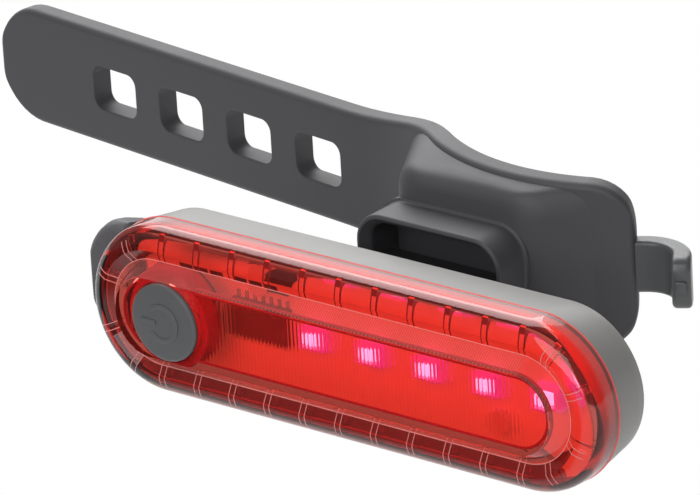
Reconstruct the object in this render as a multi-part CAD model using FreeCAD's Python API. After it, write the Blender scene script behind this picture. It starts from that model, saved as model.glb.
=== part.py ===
import FreeCAD, Part
import math
import os

# Rechargeable bicycle rear light: an oblong lamp plugged into the socket of a rubber strap bracket.
# Millimetres. Row frame: origin on the saddle's seat, midway up, where the seat post touches first.
# +Z runs up along the seat post, -Y is the way the lamp shines, +X is to the right seen from behind
# the bicycle. Lamp pieces are drawn in the lamp's own frame, whose origin is the centre of the joint
# between lens and housing, and are then placed as one.

V = FreeCAD.Vector
X_AXIS = V(1, 0, 0)
Y_AXIS = V(0, 1, 0)
Z_AXIS = V(0, 0, 1)
EPS = 0.01                      # overshoot that keeps cutting faces off finished faces

# Lamp outline
lamp_length = 75.0
lamp_radius = 10.6              # half the lamp's height, and the radius of its round ends

# Housing
housing_wall = 1.4
housing_depth = 6.4             # from the lens joint to the back shoulder
shoulder_radius = 9.7           # the side walls draw in towards the back
shoulder_bevel = 0.6
hump_inset = 9.5                # the deeper middle that holds the cell starts this far from the ends
hump_base_radius = 9.0
hump_back_radius = 6.8
hump_bevel = 0.8
hump_depth = 4.8                # from the back shoulder to the back of the hump

# Lens
lens_wall = 1.5
lens_skirt = 2.2                # straight side before the rounded front edge
lens_edge_radius = 2.6
lens_edge_steps = 3             # the rounded edge is moulded in this many flats
ring_dip = 4.1                  # depth of the ring where the raised middle starts
plateau_base_radius = 6.7
plateau_face_radius = 5.0
plateau_height = 6.1            # front face of the raised middle, ahead of the joint
rib_count = 11
rib_end_gap = 0.4               # from the last rib to the start of the round end
rib_width = 1.0
rib_height = 1.5
end_rib_angles = (-60, -20, 20, 60)
lip_thickness = 0.7
lip_clearance = 0.1

# Seal in the housing's rim
seal_width = 0.7
seal_depth = 0.5

# Circuit board
board_front = 0.9
board_thickness = 1.0
board_clearance = 0.15
board_inset = 4.5               # the board ends this far from the lamp's left end
ledge_radius = 8.0
board_screw_inset = 16.7         # from the right end; the other one sits over the chip
board_screw_offset = 4.6        # above and below the middle
board_boss_radius = 1.9
board_pilot_spare = 0.5

# Light-emitting diodes
led_count = 5
led_first_inset = 31.3          # from the lamp's left end
led_last_inset = 9.94           # from the lamp's right end
led_width = 3.5
led_height = 2.8
led_depth = 1.5
led_bevel = 0.25
led_window = 2.0                # side of the square window
led_window_depth = 0.35

# Other parts on the board
chip_to_button = 9.9            # between their middles
chip_width = 8.6
chip_depth = 1.4
chip_height = 3.9
chip_bevel = 0.2
chip_stand_off = 0.15
leg_count = 7                   # on each side of the chip
leg_width = 0.4
leg_thickness = 0.25
leg_length = 0.9
leg_root = 0.4                  # length of each leg inside the chip
resistor_width = 1.6
resistor_depth = 0.45
resistor_height = 0.8
resistor_z = 6.9
resistors_to_button = (-0.9, 1.4, 3.7, 7.3, 9.6, 11.9)
capacitor_to_button = 13.1
capacitor_z = 5.0
capacitor_width = 3.0
capacitor_depth = 1.5
capacitor_height = 1.8
capacitor_bevel = 0.2

# Power button and its switch
button_inset = 13.2
button_radius = 4.9
button_bore_clearance = 0.15
button_proud = 0.55             # the cap's face stands this far in front of the lens
button_travel = 0.4
button_flange_radius = 5.9
button_flange_thickness = 0.7
button_stem_radius = 1.6
button_cap_thickness = 1.3
button_wall = 1.0
button_edge_bevel = 0.4
collar_wall = 1.2
switch_size = 4.5
switch_body_depth = 1.5
switch_plunger_radius = 1.0
switch_plunger_rise = 0.75
switch_floor = 0.3
switch_clearance = 0.05

# Charging port
port_length = 5.4
port_depth = 2.5
port_width = 7.6
port_shell_wall = 0.3
port_mouth_inset = 1.3
port_tongue_recess = 0.6
port_tongue_thickness = 0.6
port_tongue_width = 3.8
port_window_gap = 0.35

# Cell
cell_left_inset = 25.5
cell_right_inset = 19.5
cell_depth = 4.5
cell_height = 10.0
cell_bevel = 1.0
tape_thickness = 0.3
land_width = 6.0
land_height = 1.7
lead_radius = 0.5
lead_offset_z = 1.1
lead_board_inset = 16.1

# Port cover
cover_proud = 4.6               # the cover reaches this far beyond the lamp's left end
cover_half_height = 7.7
cover_corner = 5.5
cover_taper = 1.4               # the cover draws in by this much towards the back
cover_front = 0.3
cover_thickness = 1.4           # of the cover and its anchor, behind the housing
cover_bevel = 1.2
cover_clearance = 0.2
hinge_inset = 2.5
hinge_radius = 0.6
hinge_gap = 0.35
hinge_half_height = 3.0
anchor_inset = 8.8
anchor_corner = 1.2
anchor_peg_inset = 6.9
anchor_peg_radius = 1.1
anchor_head_radius = 1.6
anchor_head_thickness = 0.4
plug_depth = 0.9
plug_thickness = 1.6
plug_width = 6.4

# Screws
screw_radius = 1.0
screw_hole_clearance = 0.05
board_screw_head_radius = 1.6
board_screw_head_height = 1.1
clip_screw_head_radius = 1.9
board_screw_length = 4.0
clip_screw_length = 4.2

# Rear clip, which plugs into the bracket's socket
clip_thickness = 1.6
clip_half_width = 11.0
clip_bottom = -5.2
clip_corner = 2.0
clip_screw_x = 7.0
clip_screw_z = -2.4
clip_to_socket_gap = 0.65
tongue_thickness = 2.0
tongue_clearance = 0.1
tongue_tip_gap = 0.8
tongue_tip_bevel = 0.6

# Bracket: saddle, socket and strap are one rubber moulding
band_thickness = 3.1
seat_radius = 25.0
seat_right_angle = 31.5
seat_left_angle = 36.0
strap_angle = 7.6               # the moulded strap trails back by this angle
sweep_radius = 34.0             # reverse bend between seat and strap, on the back face
saddle_half_height = 10.4
saddle_corner = 5.0
strap_half_height = 7.7
shoulder_start = 10.0           # left of the seat: the saddle is still at full height here
shoulder_run = 25.0             # and is down to the strap's height after this run

# Boss and socket on the front of the saddle
socket_x = -7.0                 # the lamp's centre, from the middle of the seat
socket_width = 21.3
socket_height = 9.8
socket_corner = 3.8
socket_wall = 1.5
socket_length = 5.0
socket_front = -10.75
socket_entry = 1.3
socket_rim = 0.25              # width left of the rim in front of the entry
socket_floor = -4.6
boss_left = -21.5               # where the left flank rises from the band
boss_face_left = -15.6
boss_face_right = 2.6
boss_right = 12.6               # where the right flank has run out into the band
boss_base_half_height = 9.9
boss_face_half_height = 9.0
boss_round = 2.2                # between the front and the top and bottom flanks

# Strap
strap_hole_count = 4
strap_hole_pitch = 12.37
strap_hole_width = 7.9
strap_hole_height = 5.8
strap_hole_corner = 1.6
first_hole_run = 8.8            # from the end of the reverse bend to the middle of the first hole
tip_run = 21.8                  # from the middle of the last hole to the tip
tip_corner = 6.2
flex_gap = 0.15

# Strap hook
hook_thickness = 2.3
hook_half_height = 3.25
hook_bend_radius = 4.6
hook_lead = 1.0
hook_turn = 90.0
hook_leg = 2.4
hook_tail_depth = 7.0
nib_width = 1.3
nib_rise = 0.5

# The lamp hangs this far below the middle of the bracket
lamp_drop = 5.5

# Places worked out from the sizes above
lamp_back = housing_depth + hump_depth
cover_back = housing_depth + cover_thickness
right_end = lamp_length / 2
left_end = -right_end
straight = lamp_length - 2 * lamp_radius
hump_straight = lamp_length - 2 * hump_inset - 2 * hump_base_radius
end_x = straight / 2
rib_pitch = (straight - 2 * rib_end_gap) / (rib_count - 1)
led_pitch = (lamp_length - led_first_inset - led_last_inset) / (led_count - 1)
button_x = left_end + button_inset
chip_x = button_x + chip_to_button
capacitor_x = button_x + capacitor_to_button
board_screw_places = ((right_end - board_screw_inset, -board_screw_offset), (chip_x, board_screw_offset))
port_mouth_x = left_end + port_mouth_inset
cell_left = left_end + cell_left_inset
cell_right = right_end - cell_right_inset
lead_board_x = right_end - lead_board_inset
hinge_x = left_end + hinge_inset
anchor_right = left_end + anchor_inset
anchor_peg_x = left_end + anchor_peg_inset
cavity_radius = lamp_radius - housing_wall
board_back = board_front + board_thickness
shelf_inside = housing_depth - housing_wall
hump_inside = lamp_back - housing_wall
ring_inside = ring_dip - lens_wall
plateau_inside = plateau_height - lens_wall
lens_cavity_radius = lamp_radius - lens_wall
button_bore = button_radius + button_bore_clearance
switch_top = board_front - switch_body_depth
plunger_top = switch_top - switch_plunger_rise
land_front = hump_inside - land_height
cell_back = land_front - tape_thickness
cell_front = cell_back - cell_depth
port_middle_y = board_back + port_depth / 2
clip_back = lamp_back + clip_thickness
lamp_place = V(socket_x, socket_front - clip_to_socket_gap - clip_back, -lamp_drop)
hollow_half_width = socket_width / 2 - socket_wall
hollow_half_height = socket_height / 2 - socket_wall
hollow_corner = socket_corner - socket_wall
tongue_top = lamp_drop - hollow_half_height + tongue_clearance + tongue_thickness
tongue_end = socket_floor - tongue_tip_gap - lamp_place.y
hinge_y = (housing_depth + cover_clearance + cover_back) / 2


def box(x0, x1, y0, y1, z0, z1):
    """Box between two corners."""
    return Part.makeBox(x1 - x0, y1 - y0, z1 - z0, V(x0, y0, z0))


def rod(radius, y0, y1, x=0.0, z=0.0):
    """Cylinder along Y."""
    return Part.makeCylinder(radius, y1 - y0, V(x, y0, z), Y_AXIS)


def outline(*corners):
    """Closed face in the plane X = 0 through corners (r, y); r is measured from the lamp's axis."""
    points = [V(0, y, r) for r, y in corners]
    return Part.Face(Part.makePolygon(points + points[:1]))


def oblong(face, length):
    """Solid whose section is the outline all round: turned at both ends, straight between them."""
    left = face.translated(V(-length / 2, 0, 0)).revolve(V(-length / 2, 0, 0), Y_AXIS, -180)
    right = face.translated(V(length / 2, 0, 0)).revolve(V(length / 2, 0, 0), Y_AXIS, 180)
    upper = face.translated(V(-length / 2, 0, 0)).extrude(V(length, 0, 0))
    lower = upper.copy()
    lower.rotate(V(0, 0, 0), Y_AXIS, 180)
    return left.fuse([upper, lower, right]).removeSplitter().Solids[0]


def turned(face, x, z=0.0):
    """Solid of revolution about an axis along Y."""
    return face.translated(V(x, 0, z)).revolve(V(x, 0, z), Y_AXIS, 360)


def rounded_wire(width, height, corner, x=0.0, y=0.0, z=0.0):
    """Rounded rectangle in a plane square to Y."""
    w = width / 2
    h = height / 2
    k = corner * (1 - math.sqrt(0.5))
    places = [(-w + corner, -h), (w - corner, -h), (w - k, -h + k), (w, -h + corner),
              (w, h - corner), (w - k, h - k), (w - corner, h), (-w + corner, h),
              (-w + k, h - k), (-w, h - corner), (-w, -h + corner), (-w + k, -h + k)]
    p = [V(x + a, y, z + b) for a, b in places]
    return Part.Wire([
        Part.LineSegment(p[0], p[1]).toShape(), Part.Arc(p[1], p[2], p[3]).toShape(),
        Part.LineSegment(p[3], p[4]).toShape(), Part.Arc(p[4], p[5], p[6]).toShape(),
        Part.LineSegment(p[6], p[7]).toShape(), Part.Arc(p[7], p[8], p[9]).toShape(),
        Part.LineSegment(p[9], p[10]).toShape(), Part.Arc(p[10], p[11], p[0]).toShape()])


def rounded_block(width, height, corner, y0, y1, x=0.0, z=0.0):
    """Block with a rounded rectangular section, running along Y."""
    return Part.Face(rounded_wire(width, height, corner, x, y0, z)).extrude(V(0, y1 - y0, 0))


def frustum(first, last):
    """Block that runs straight from one rounded section to another."""
    return Part.makeLoft([first, last], True, True)


# Lamp pieces, in the lamp's frame

def housing_envelope(grow=0.0):
    """Outside of the housing without its hump, optionally grown for a clearance."""
    b = shoulder_bevel
    return oblong(outline(
        (0, 0 - grow),
        (lamp_radius + grow, 0 - grow),
        (shoulder_radius + grow, housing_depth - b),
        (shoulder_radius - b + grow, housing_depth + grow),
        (0, housing_depth + grow)), straight)


def make_housing():
    hump = oblong(outline(
        (0, shelf_inside),
        (hump_base_radius, shelf_inside),
        (hump_base_radius, housing_depth),
        (hump_back_radius, lamp_back - hump_bevel),
        (hump_back_radius - hump_bevel, lamp_back),
        (0, lamp_back)), hump_straight)
    cavity = oblong(outline(
        (0, -EPS),
        (cavity_radius, -EPS),
        (cavity_radius, board_back),
        (ledge_radius, board_back),
        (ledge_radius, shelf_inside),
        (0, shelf_inside)), straight)
    hump_cavity = oblong(outline(
        (0, shelf_inside - EPS),
        (hump_back_radius - housing_wall, shelf_inside - EPS),
        (hump_back_radius - housing_wall, hump_inside),
        (0, hump_inside)), hump_straight)
    seal_groove = make_seal_ring(seal_depth, -EPS)
    body = housing_envelope().fuse(hump).cut(cavity).cut(hump_cavity).cut(seal_groove)

    bosses = [rod(board_boss_radius, board_back, hump_inside + EPS, x, z) for x, z in board_screw_places]
    lands = [box(side * clip_screw_x - land_width / 2, side * clip_screw_x + land_width / 2,
                 land_front, hump_inside + EPS, -cell_height / 2, cell_height / 2) for side in (-1, 1)]
    body = body.fuse(bosses + lands)

    hole = screw_radius + screw_hole_clearance
    pilots = [rod(hole, board_back - EPS, board_front + board_screw_length + board_pilot_spare, x, z)
              for x, z in board_screw_places]
    pilots += [rod(hole, land_front - EPS, lamp_back + EPS, side * clip_screw_x, clip_screw_z)
               for side in (-1, 1)]
    window = box(-lamp_length, port_mouth_x + port_length,
                 board_back - port_window_gap, board_back + port_depth + port_window_gap,
                 -port_width / 2 - port_window_gap, port_width / 2 + port_window_gap)
    peg_hole = rod(anchor_peg_radius, shelf_inside - EPS, housing_depth + EPS, anchor_peg_x)
    return body.cut(pilots + [window, peg_hole]).removeSplitter()


def make_seal_ring(depth, start=0.0):
    return oblong(outline(
        (cavity_radius, start),
        (cavity_radius + seal_width, start),
        (cavity_radius + seal_width, depth),
        (cavity_radius, depth)), straight)


def make_lens_seal():
    """Silicone gasket, level with the housing's rim."""
    return make_seal_ring(seal_depth)


def lens_outside():
    edge = []
    for k in range(lens_edge_steps + 1):
        angle = math.radians(90 * k / lens_edge_steps)
        edge.append((lamp_radius - lens_edge_radius * (1 - math.cos(angle)),
                     -lens_skirt - lens_edge_radius * math.sin(angle)))
    return oblong(outline(
        (0, 0),
        (lamp_radius, 0),
        *edge,
        (plateau_base_radius, -ring_dip),
        (plateau_face_radius, -plateau_height),
        (0, -plateau_height)), straight)


def lens_inside():
    slope = (plateau_base_radius - plateau_face_radius) / (plateau_height - ring_dip)
    inner_base = plateau_base_radius - lens_wall * math.sqrt(1 + slope * slope) + slope * lens_wall
    inner_face = inner_base - slope * (plateau_inside - ring_inside)
    return oblong(outline(
        (0, EPS),
        (lens_cavity_radius, EPS),
        (lens_cavity_radius, -ring_inside),
        (inner_base, -ring_inside),
        (inner_face, -plateau_inside),
        (0, -plateau_inside)), straight)


def make_lens():
    """Stepped lens: skirt, ring with light-spreading ribs, raised middle, bore for the button."""
    outside = lens_outside()
    inside = lens_inside()
    shell = outside.cut(inside)

    rib_top = -ring_inside + rib_height
    rib_reach = lens_cavity_radius + EPS
    ribs = []
    for k in range(rib_count):
        x = (k - (rib_count - 1) / 2) * rib_pitch
        for side in (-1, 1):
            low, high = sorted((side * plateau_base_radius, side * rib_reach))
            ribs.append(box(x - rib_width / 2, x + rib_width / 2, -ring_inside - EPS, rib_top, low, high))
    for side in (-1, 1):
        for angle in end_rib_angles:
            spoke = box(plateau_base_radius, rib_reach, -ring_inside - EPS, rib_top,
                        -rib_width / 2, rib_width / 2)
            spoke.rotate(V(0, 0, 0), Y_AXIS, angle + (180 if side < 0 else 0))
            ribs.append(spoke.translated(V(side * end_x, 0, 0)))

    lip = oblong(outline(
        (cavity_radius - lip_clearance - lip_thickness, -ring_inside / 2),
        (cavity_radius - lip_clearance, -ring_inside / 2),
        (cavity_radius - lip_clearance, board_front),
        (cavity_radius - lip_clearance - lip_thickness, board_front)), straight)
    collar = rod(button_bore + collar_wall, -plateau_height, -ring_inside, button_x).common(outside)
    bore = rod(button_bore, -plateau_height - EPS, EPS, button_x)
    return shell.fuse(ribs + [lip, collar]).cut(bore).removeSplitter()


def make_power_button():
    """Rubber cap: thin wall, flange behind the lens and a stem that rests on the switch."""
    face = -(plateau_height + button_proud)
    edge = button_edge_bevel
    flange_front = -ring_inside
    flange_back = flange_front + button_flange_thickness
    cap_back = face + button_cap_thickness
    cap = outline(
        (0, face),
        (button_radius - edge, face),
        (button_radius, face + edge),
        (button_radius, flange_front),
        (button_flange_radius, flange_front),
        (button_flange_radius, flange_back),
        (button_radius - button_wall, flange_back),
        (button_radius - button_wall, cap_back),
        (button_stem_radius, cap_back),
        (button_stem_radius, plunger_top),
        (0, plunger_top))
    return turned(cap, button_x)


def make_switch_body():
    half = switch_size / 2
    body = box(button_x - half, button_x + half, switch_top, board_front, -half, half)
    well = rod(switch_plunger_radius + switch_clearance, switch_top - EPS, board_front - switch_floor,
               button_x)
    return body.cut(well)


def make_switch_plunger():
    return rod(switch_plunger_radius, plunger_top, switch_top + button_travel / 2, button_x)


def make_circuit_board():
    radius = cavity_radius - lip_clearance - board_clearance
    board = oblong(outline((0, board_front), (radius, board_front), (radius, board_back),
                           (0, board_back)), straight)
    board = board.cut(box(-lamp_length, left_end + board_inset, 0, lamp_back, -lamp_radius, lamp_radius))
    hole = screw_radius + screw_hole_clearance
    return board.cut([rod(hole, 0, lamp_back, x, z) for x, z in board_screw_places])


def front_edges(shape):
    """Edges of a part's face towards the lens."""
    front = shape.BoundBox.YMin
    return [e for e in shape.Edges if e.BoundBox.YMax < front + EPS]


def board_part(x, z, width, depth, height, bevel, stand_off=0.0):
    """Block on the front of the board with bevelled front edges."""
    block = box(x - width / 2, x + width / 2, board_front - depth, board_front - stand_off,
                z - height / 2, z + height / 2)
    return block.makeChamfer(bevel, front_edges(block))


def make_led(k):
    x = left_end + led_first_inset + k * led_pitch
    package = board_part(x, 0, led_width, led_depth, led_height, led_bevel)
    half = led_window / 2
    front = board_front - led_depth
    return package.cut(box(x - half, x + half, front - EPS, front + led_window_depth, -half, half))


def make_control_chip():
    body = board_part(chip_x, 0, chip_width, chip_depth, chip_height, chip_bevel, chip_stand_off)
    legs = []
    for k in range(leg_count):
        x = chip_x + chip_width * ((k + 0.5) / leg_count - 0.5)
        for side in (-1, 1):
            low, high = sorted((side * (chip_height / 2 - leg_root), side * (chip_height / 2 + leg_length)))
            legs.append(box(x - leg_width / 2, x + leg_width / 2, board_front - leg_thickness, board_front,
                            low, high))
    return body.fuse(legs)


def make_board_resistors():
    """Row of small resistors above the button; separate solids that share a node."""
    top = board_front - resistor_depth
    low = resistor_z - resistor_height / 2
    high = resistor_z + resistor_height / 2
    return Part.makeCompound([
        box(button_x + shift - resistor_width / 2, button_x + shift + resistor_width / 2,
            top, board_front, low, high) for shift in resistors_to_button])


def make_capacitor():
    return board_part(capacitor_x, capacitor_z, capacitor_width, capacitor_depth, capacitor_height,
                      capacitor_bevel)


def port_section(grow, x0, x1):
    """Charging port's section: two corners are bevelled so the plug goes in one way only."""
    top = board_back - grow
    bottom = board_back + port_depth + grow
    half = port_width / 2 + grow
    bevel = port_depth / 3
    corners = [(top, -half), (top, half), (bottom - bevel, half), (bottom, half - bevel),
               (bottom, -half + bevel), (bottom - bevel, -half)]
    wire = Part.makePolygon([V(x0, y, z) for y, z in corners + corners[:1]])
    return Part.Face(wire).extrude(V(x1 - x0, 0, 0))


def make_port_shell():
    back = port_mouth_x + port_length
    shell = port_section(0, port_mouth_x, back)
    hollow = port_section(-port_shell_wall, port_mouth_x - EPS, back - port_shell_wall)
    return shell.cut(hollow)


def make_port_tongue():
    back = port_mouth_x + port_length - port_shell_wall
    return box(port_mouth_x + port_tongue_recess, back, port_middle_y - port_tongue_thickness / 2,
               port_middle_y + port_tongue_thickness / 2, -port_tongue_width / 2, port_tongue_width / 2)


def make_cell():
    block = box(cell_left, cell_right, cell_front, cell_back, -cell_height / 2, cell_height / 2)
    return block.makeChamfer(cell_bevel, [e for e in block.Edges if e.BoundBox.XLength > EPS])


def make_cell_tape():
    """Two pieces of double-sided tape between the cell and the housing's lands."""
    half = land_width / 2
    high = cell_height / 2 - cell_bevel
    return Part.makeCompound([
        box(side * clip_screw_x - half, side * clip_screw_x + half, cell_back, land_front, -high, high)
        for side in (-1, 1)])


def make_cell_lead(side):
    """Lead from the end of the cell out and up to the back of the board."""
    z = side * lead_offset_z
    y = (cell_front + cell_back) / 2
    places = [V(cell_right, y, z), V(lead_board_x, y, z), V(lead_board_x, board_back, z)]
    ring = Part.Wire(Part.makeCircle(lead_radius, places[0], X_AXIS))
    mitred = 1
    return Part.makePolygon(places).makePipeShell([ring], True, False, mitred)


def make_port_cover():
    """Thick rubber cap round the left end, with a plug for the port and a web to its hinge."""
    right = hinge_x - hinge_radius / 2
    width = 2 * (cover_proud - left_end + right)
    block = rounded_block(width, 2 * cover_half_height, cover_corner, cover_front, cover_back, right)
    for reach, middle, turn in ((cover_half_height, 0, 90), (width / 2, right, 0)):
        inset = reach - cover_taper
        side = [V(s * a, y, -lamp_length) for s, a, y in (
            (-1, reach - cover_bevel, cover_front), (1, reach - cover_bevel, cover_front),
            (1, reach, cover_front + cover_bevel), (1, inset, cover_back - cover_bevel),
            (1, inset - cover_bevel, cover_back), (-1, inset - cover_bevel, cover_back),
            (-1, inset, cover_back - cover_bevel), (-1, reach, cover_front + cover_bevel))]
        profile = Part.Face(Part.makePolygon(side + side[:1])).extrude(V(0, 0, 2 * lamp_length))
        profile.rotate(V(0, 0, 0), Y_AXIS, turn)
        block = block.common(profile.translated(V(middle, 0, 0)))
    block = block.common(box(-2 * lamp_length, right, 0, lamp_back, -lamp_radius, lamp_radius))
    cap = block.cut(housing_envelope(cover_clearance))
    plug = box(left_end - 2 * cover_clearance, left_end + plug_depth, port_middle_y - plug_thickness / 2,
               port_middle_y + plug_thickness / 2, -plug_width / 2, plug_width / 2)
    knuckle = Part.makeCylinder(hinge_radius, 2 * hinge_half_height, V(hinge_x, hinge_y, -hinge_half_height))
    web = box(right - EPS, hinge_x, hinge_y - hinge_radius, hinge_y + hinge_radius,
              -hinge_half_height, hinge_half_height)
    return cap.fuse([plug, knuckle, web]).removeSplitter()


def make_cover_anchor():
    """Fixed end of the cover: a tab on the housing's back, held by a peg with a head inside."""
    left = hinge_x + hinge_radius + hinge_gap
    tab = box(left, anchor_right, housing_depth, cover_back, -hinge_half_height, hinge_half_height)
    right_edges = [e for e in tab.Edges if e.BoundBox.YLength > EPS and e.CenterOfMass.x > anchor_right - EPS]
    tab = tab.makeChamfer(anchor_corner, right_edges)
    peg = rod(anchor_peg_radius, shelf_inside - anchor_head_thickness, housing_depth + EPS, anchor_peg_x)
    head = rod(anchor_head_radius, shelf_inside - anchor_head_thickness, shelf_inside, anchor_peg_x)
    return tab.fuse([peg, head]).removeSplitter()


def board_screw(x, z):
    """Pan-headed screw that holds the board on its boss."""
    top = board_front - board_screw_head_height
    radius = board_screw_head_radius
    body = turned(outline((0, top), (radius, top), (radius, board_front), (screw_radius, board_front),
                          (screw_radius, board_front + board_screw_length),
                          (0, board_front + board_screw_length)), 0)
    return body.translated(V(x, 0, z))


def make_board_screws():
    return Part.makeCompound([board_screw(x, z) for x, z in board_screw_places])


def countersunk_screw(x, z):
    """Flat-headed screw that sits flush in the back of the clip."""
    radius = clip_screw_head_radius
    flare = radius - screw_radius
    body = turned(outline((0, clip_back), (radius, clip_back), (screw_radius, clip_back - flare),
                          (screw_radius, clip_back - clip_screw_length),
                          (0, clip_back - clip_screw_length)), 0)
    return body.translated(V(x, 0, z))


def make_clip_screws():
    return Part.makeCompound([countersunk_screw(side * clip_screw_x, clip_screw_z) for side in (-1, 1)])


def make_rear_clip():
    """Plate screwed to the hump, with the tongue that slides into the bracket's socket."""
    height = tongue_top - clip_bottom
    plate = rounded_block(2 * clip_half_width, height, clip_corner, lamp_back, clip_back,
                          0, (tongue_top + clip_bottom) / 2)
    c = tongue_clearance
    tongue = rounded_block(2 * (hollow_half_width - c), 2 * (hollow_half_height - c), hollow_corner - c,
                           lamp_back, tongue_end, 0, lamp_drop)
    tongue = tongue.common(box(-lamp_length, lamp_length, 0, tongue_end, -lamp_radius, tongue_top))
    tip_corners = [e for e in tongue.Edges if abs(e.BoundBox.YMin - tongue_end) < EPS
                   and e.BoundBox.XLength > hollow_half_width]
    tongue = tongue.makeChamfer(tongue_tip_bevel, tip_corners)
    flare = clip_screw_head_radius - screw_radius
    gap = screw_hole_clearance
    seats = [turned(outline((0, clip_back + EPS), (clip_screw_head_radius + gap + EPS, clip_back + EPS),
                            (screw_radius + gap, clip_back - flare),
                            (screw_radius + gap, lamp_back - EPS),
                            (0, lamp_back - EPS)), side * clip_screw_x, clip_screw_z)
             for side in (-1, 1)]
    return plate.fuse(tongue).cut(seats).removeSplitter()


# Bracket pieces, in the row frame

def polar(centre, radius, angle):
    a = math.radians(angle)
    return V(centre.x + radius * math.cos(a), centre.y + radius * math.sin(a), 0)


def band_points():
    """Corners of the band seen from above: the seat's arc, the reverse bend, then the strap."""
    seat_centre = V(0, seat_radius, 0)
    right = -90 + seat_right_angle
    left = -90 - seat_left_angle
    turn = seat_left_angle - strap_angle
    sweep_centre = polar(seat_centre, seat_radius + sweep_radius, left)
    points = {
        "seat_centre": seat_centre, "sweep_centre": sweep_centre,
        "right": right, "left": left, "sweep_start": left + 180, "sweep_end": left + 180 + turn,
        "along": V(-math.cos(math.radians(strap_angle)), math.sin(math.radians(strap_angle)), 0),
        "across": V(math.sin(math.radians(strap_angle)), math.cos(math.radians(strap_angle)), 0)}
    points["strap_root"] = polar(sweep_centre, sweep_radius, points["sweep_end"])
    points["left_front"] = polar(seat_centre, seat_radius + band_thickness, left)
    return points


PLAN = band_points()
strap_length = first_hole_run + (strap_hole_count - 1) * strap_hole_pitch + tip_run


def arc_edge(centre, radius, from_angle, to_angle):
    middle = (from_angle + to_angle) / 2
    return Part.Arc(polar(centre, radius, from_angle), polar(centre, radius, middle),
                    polar(centre, radius, to_angle)).toShape()


def band_face(run, offset=0.0, thickness=band_thickness):
    """Plan of the band from its right end to a run along the strap; offset moves it forwards."""
    back = seat_radius + offset
    front = seat_radius + offset + thickness
    sweep_back = sweep_radius - offset
    sweep_front = sweep_radius - offset - thickness
    seat = PLAN["seat_centre"]
    sweep = PLAN["sweep_centre"]
    edges = [arc_edge(seat, back, PLAN["right"], PLAN["left"]),
             arc_edge(sweep, sweep_back, PLAN["sweep_start"], PLAN["sweep_end"])]
    here = polar(sweep, sweep_back, PLAN["sweep_end"])
    there = polar(sweep, sweep_front, PLAN["sweep_end"])
    if run > 0:
        tip_back = here + PLAN["along"] * run
        tip_front = there + PLAN["along"] * run
        edges += [Part.LineSegment(here, tip_back).toShape(), Part.LineSegment(tip_back, tip_front).toShape(),
                  Part.LineSegment(tip_front, there).toShape()]
    else:
        edges.append(Part.LineSegment(here, there).toShape())
    edges += [arc_edge(sweep, sweep_front, PLAN["sweep_end"], PLAN["sweep_start"]),
              arc_edge(seat, front, PLAN["left"], PLAN["right"]),
              Part.LineSegment(polar(seat, front, PLAN["right"]), polar(seat, back, PLAN["right"])).toShape()]
    return Part.Face(Part.Wire(Part.sortEdges(edges)[0]))


def flex_place(k):
    """Middle of the band at the k-th bending line: one before each hole."""
    run = first_hole_run + (k - 0.5) * strap_hole_pitch
    return PLAN["strap_root"] + PLAN["along"] * run - PLAN["across"] * (band_thickness / 2)


def strap_frame(shape):
    """Moves a shape drawn with X along the strap from its root to where the strap lies."""
    shape.rotate(V(0, 0, 0), Z_AXIS, 180 - strap_angle)
    return shape.translated(PLAN["strap_root"])


def saddle_outline():
    """Front view of the saddle: full height on the right, drawn in to the strap on the left."""
    right = 2 * seat_radius
    h = saddle_half_height
    s = strap_half_height
    start = -shoulder_start
    end = start - shoulder_run
    far = -2 * lamp_length
    edges = []
    for side in (1, -1):
        edges.append(Part.LineSegment(V(right, 0, 0), V(right, 0, side * h)).toShape())
        edges.append(Part.LineSegment(V(right, 0, side * h), V(start, 0, side * h)).toShape())
        curve = Part.BezierCurve()
        curve.setPoles([V(start, 0, side * h), V(start - shoulder_run / 2, 0, side * h),
                        V(end + shoulder_run / 2, 0, side * s), V(end, 0, side * s)])
        edges.append(curve.toShape())
        edges.append(Part.LineSegment(V(end, 0, side * s), V(far, 0, side * s)).toShape())
        edges.append(Part.LineSegment(V(far, 0, side * s), V(far, 0, 0)).toShape())
    wire = Part.Wire(Part.sortEdges(edges)[0])
    depth = 4 * seat_radius
    return Part.Face(wire).translated(V(0, -depth / 2, 0)).extrude(V(0, depth, 0))


def flex_cylinder(k, radius):
    place = flex_place(k)
    return Part.makeCylinder(radius, 4 * lamp_radius, V(place.x, place.y, -2 * lamp_radius))


def beyond_flex(k):
    """Everything further along the strap than the k-th bending line."""
    run = first_hole_run + (k - 0.5) * strap_hole_pitch
    block = box(run, run + 2 * lamp_length, -lamp_length, lamp_length, -lamp_length, lamp_length)
    return strap_frame(block)


def rounded_right_end():
    """Block that keeps all of the band but the corners of its right end."""
    reach = 2 * lamp_length
    block = rounded_block(2 * reach, 2 * saddle_half_height, saddle_corner, -reach, reach, -reach)
    block.rotate(V(0, 0, 0), Z_AXIS, seat_right_angle)
    return block.translated(polar(PLAN["seat_centre"], seat_radius, PLAN["right"]))


def strap_blank():
    """Saddle plate and strap in one, before the holes, cut to its front outline."""
    band = band_face(strap_length).translated(V(0, 0, -saddle_half_height))
    band = band.extrude(V(0, 0, 2 * saddle_half_height)).common(saddle_outline()).common(rounded_right_end())
    tip_face = rounded_wire(2 * strap_length, 2 * strap_half_height, tip_corner)
    tip = Part.Face(tip_face).translated(V(0, -lamp_length, 0)).extrude(V(0, 2 * lamp_length, 0))
    keep = box(-2 * lamp_length, strap_length / 2, -lamp_length, lamp_length, -lamp_length, lamp_length)
    return band.common(strap_frame(tip.fuse(keep)))


def strap_hole(k):
    run = first_hole_run + k * strap_hole_pitch
    return strap_frame(rounded_block(strap_hole_width, strap_hole_height, strap_hole_corner,
                                     -2 * band_thickness, 2 * band_thickness, run))


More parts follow.
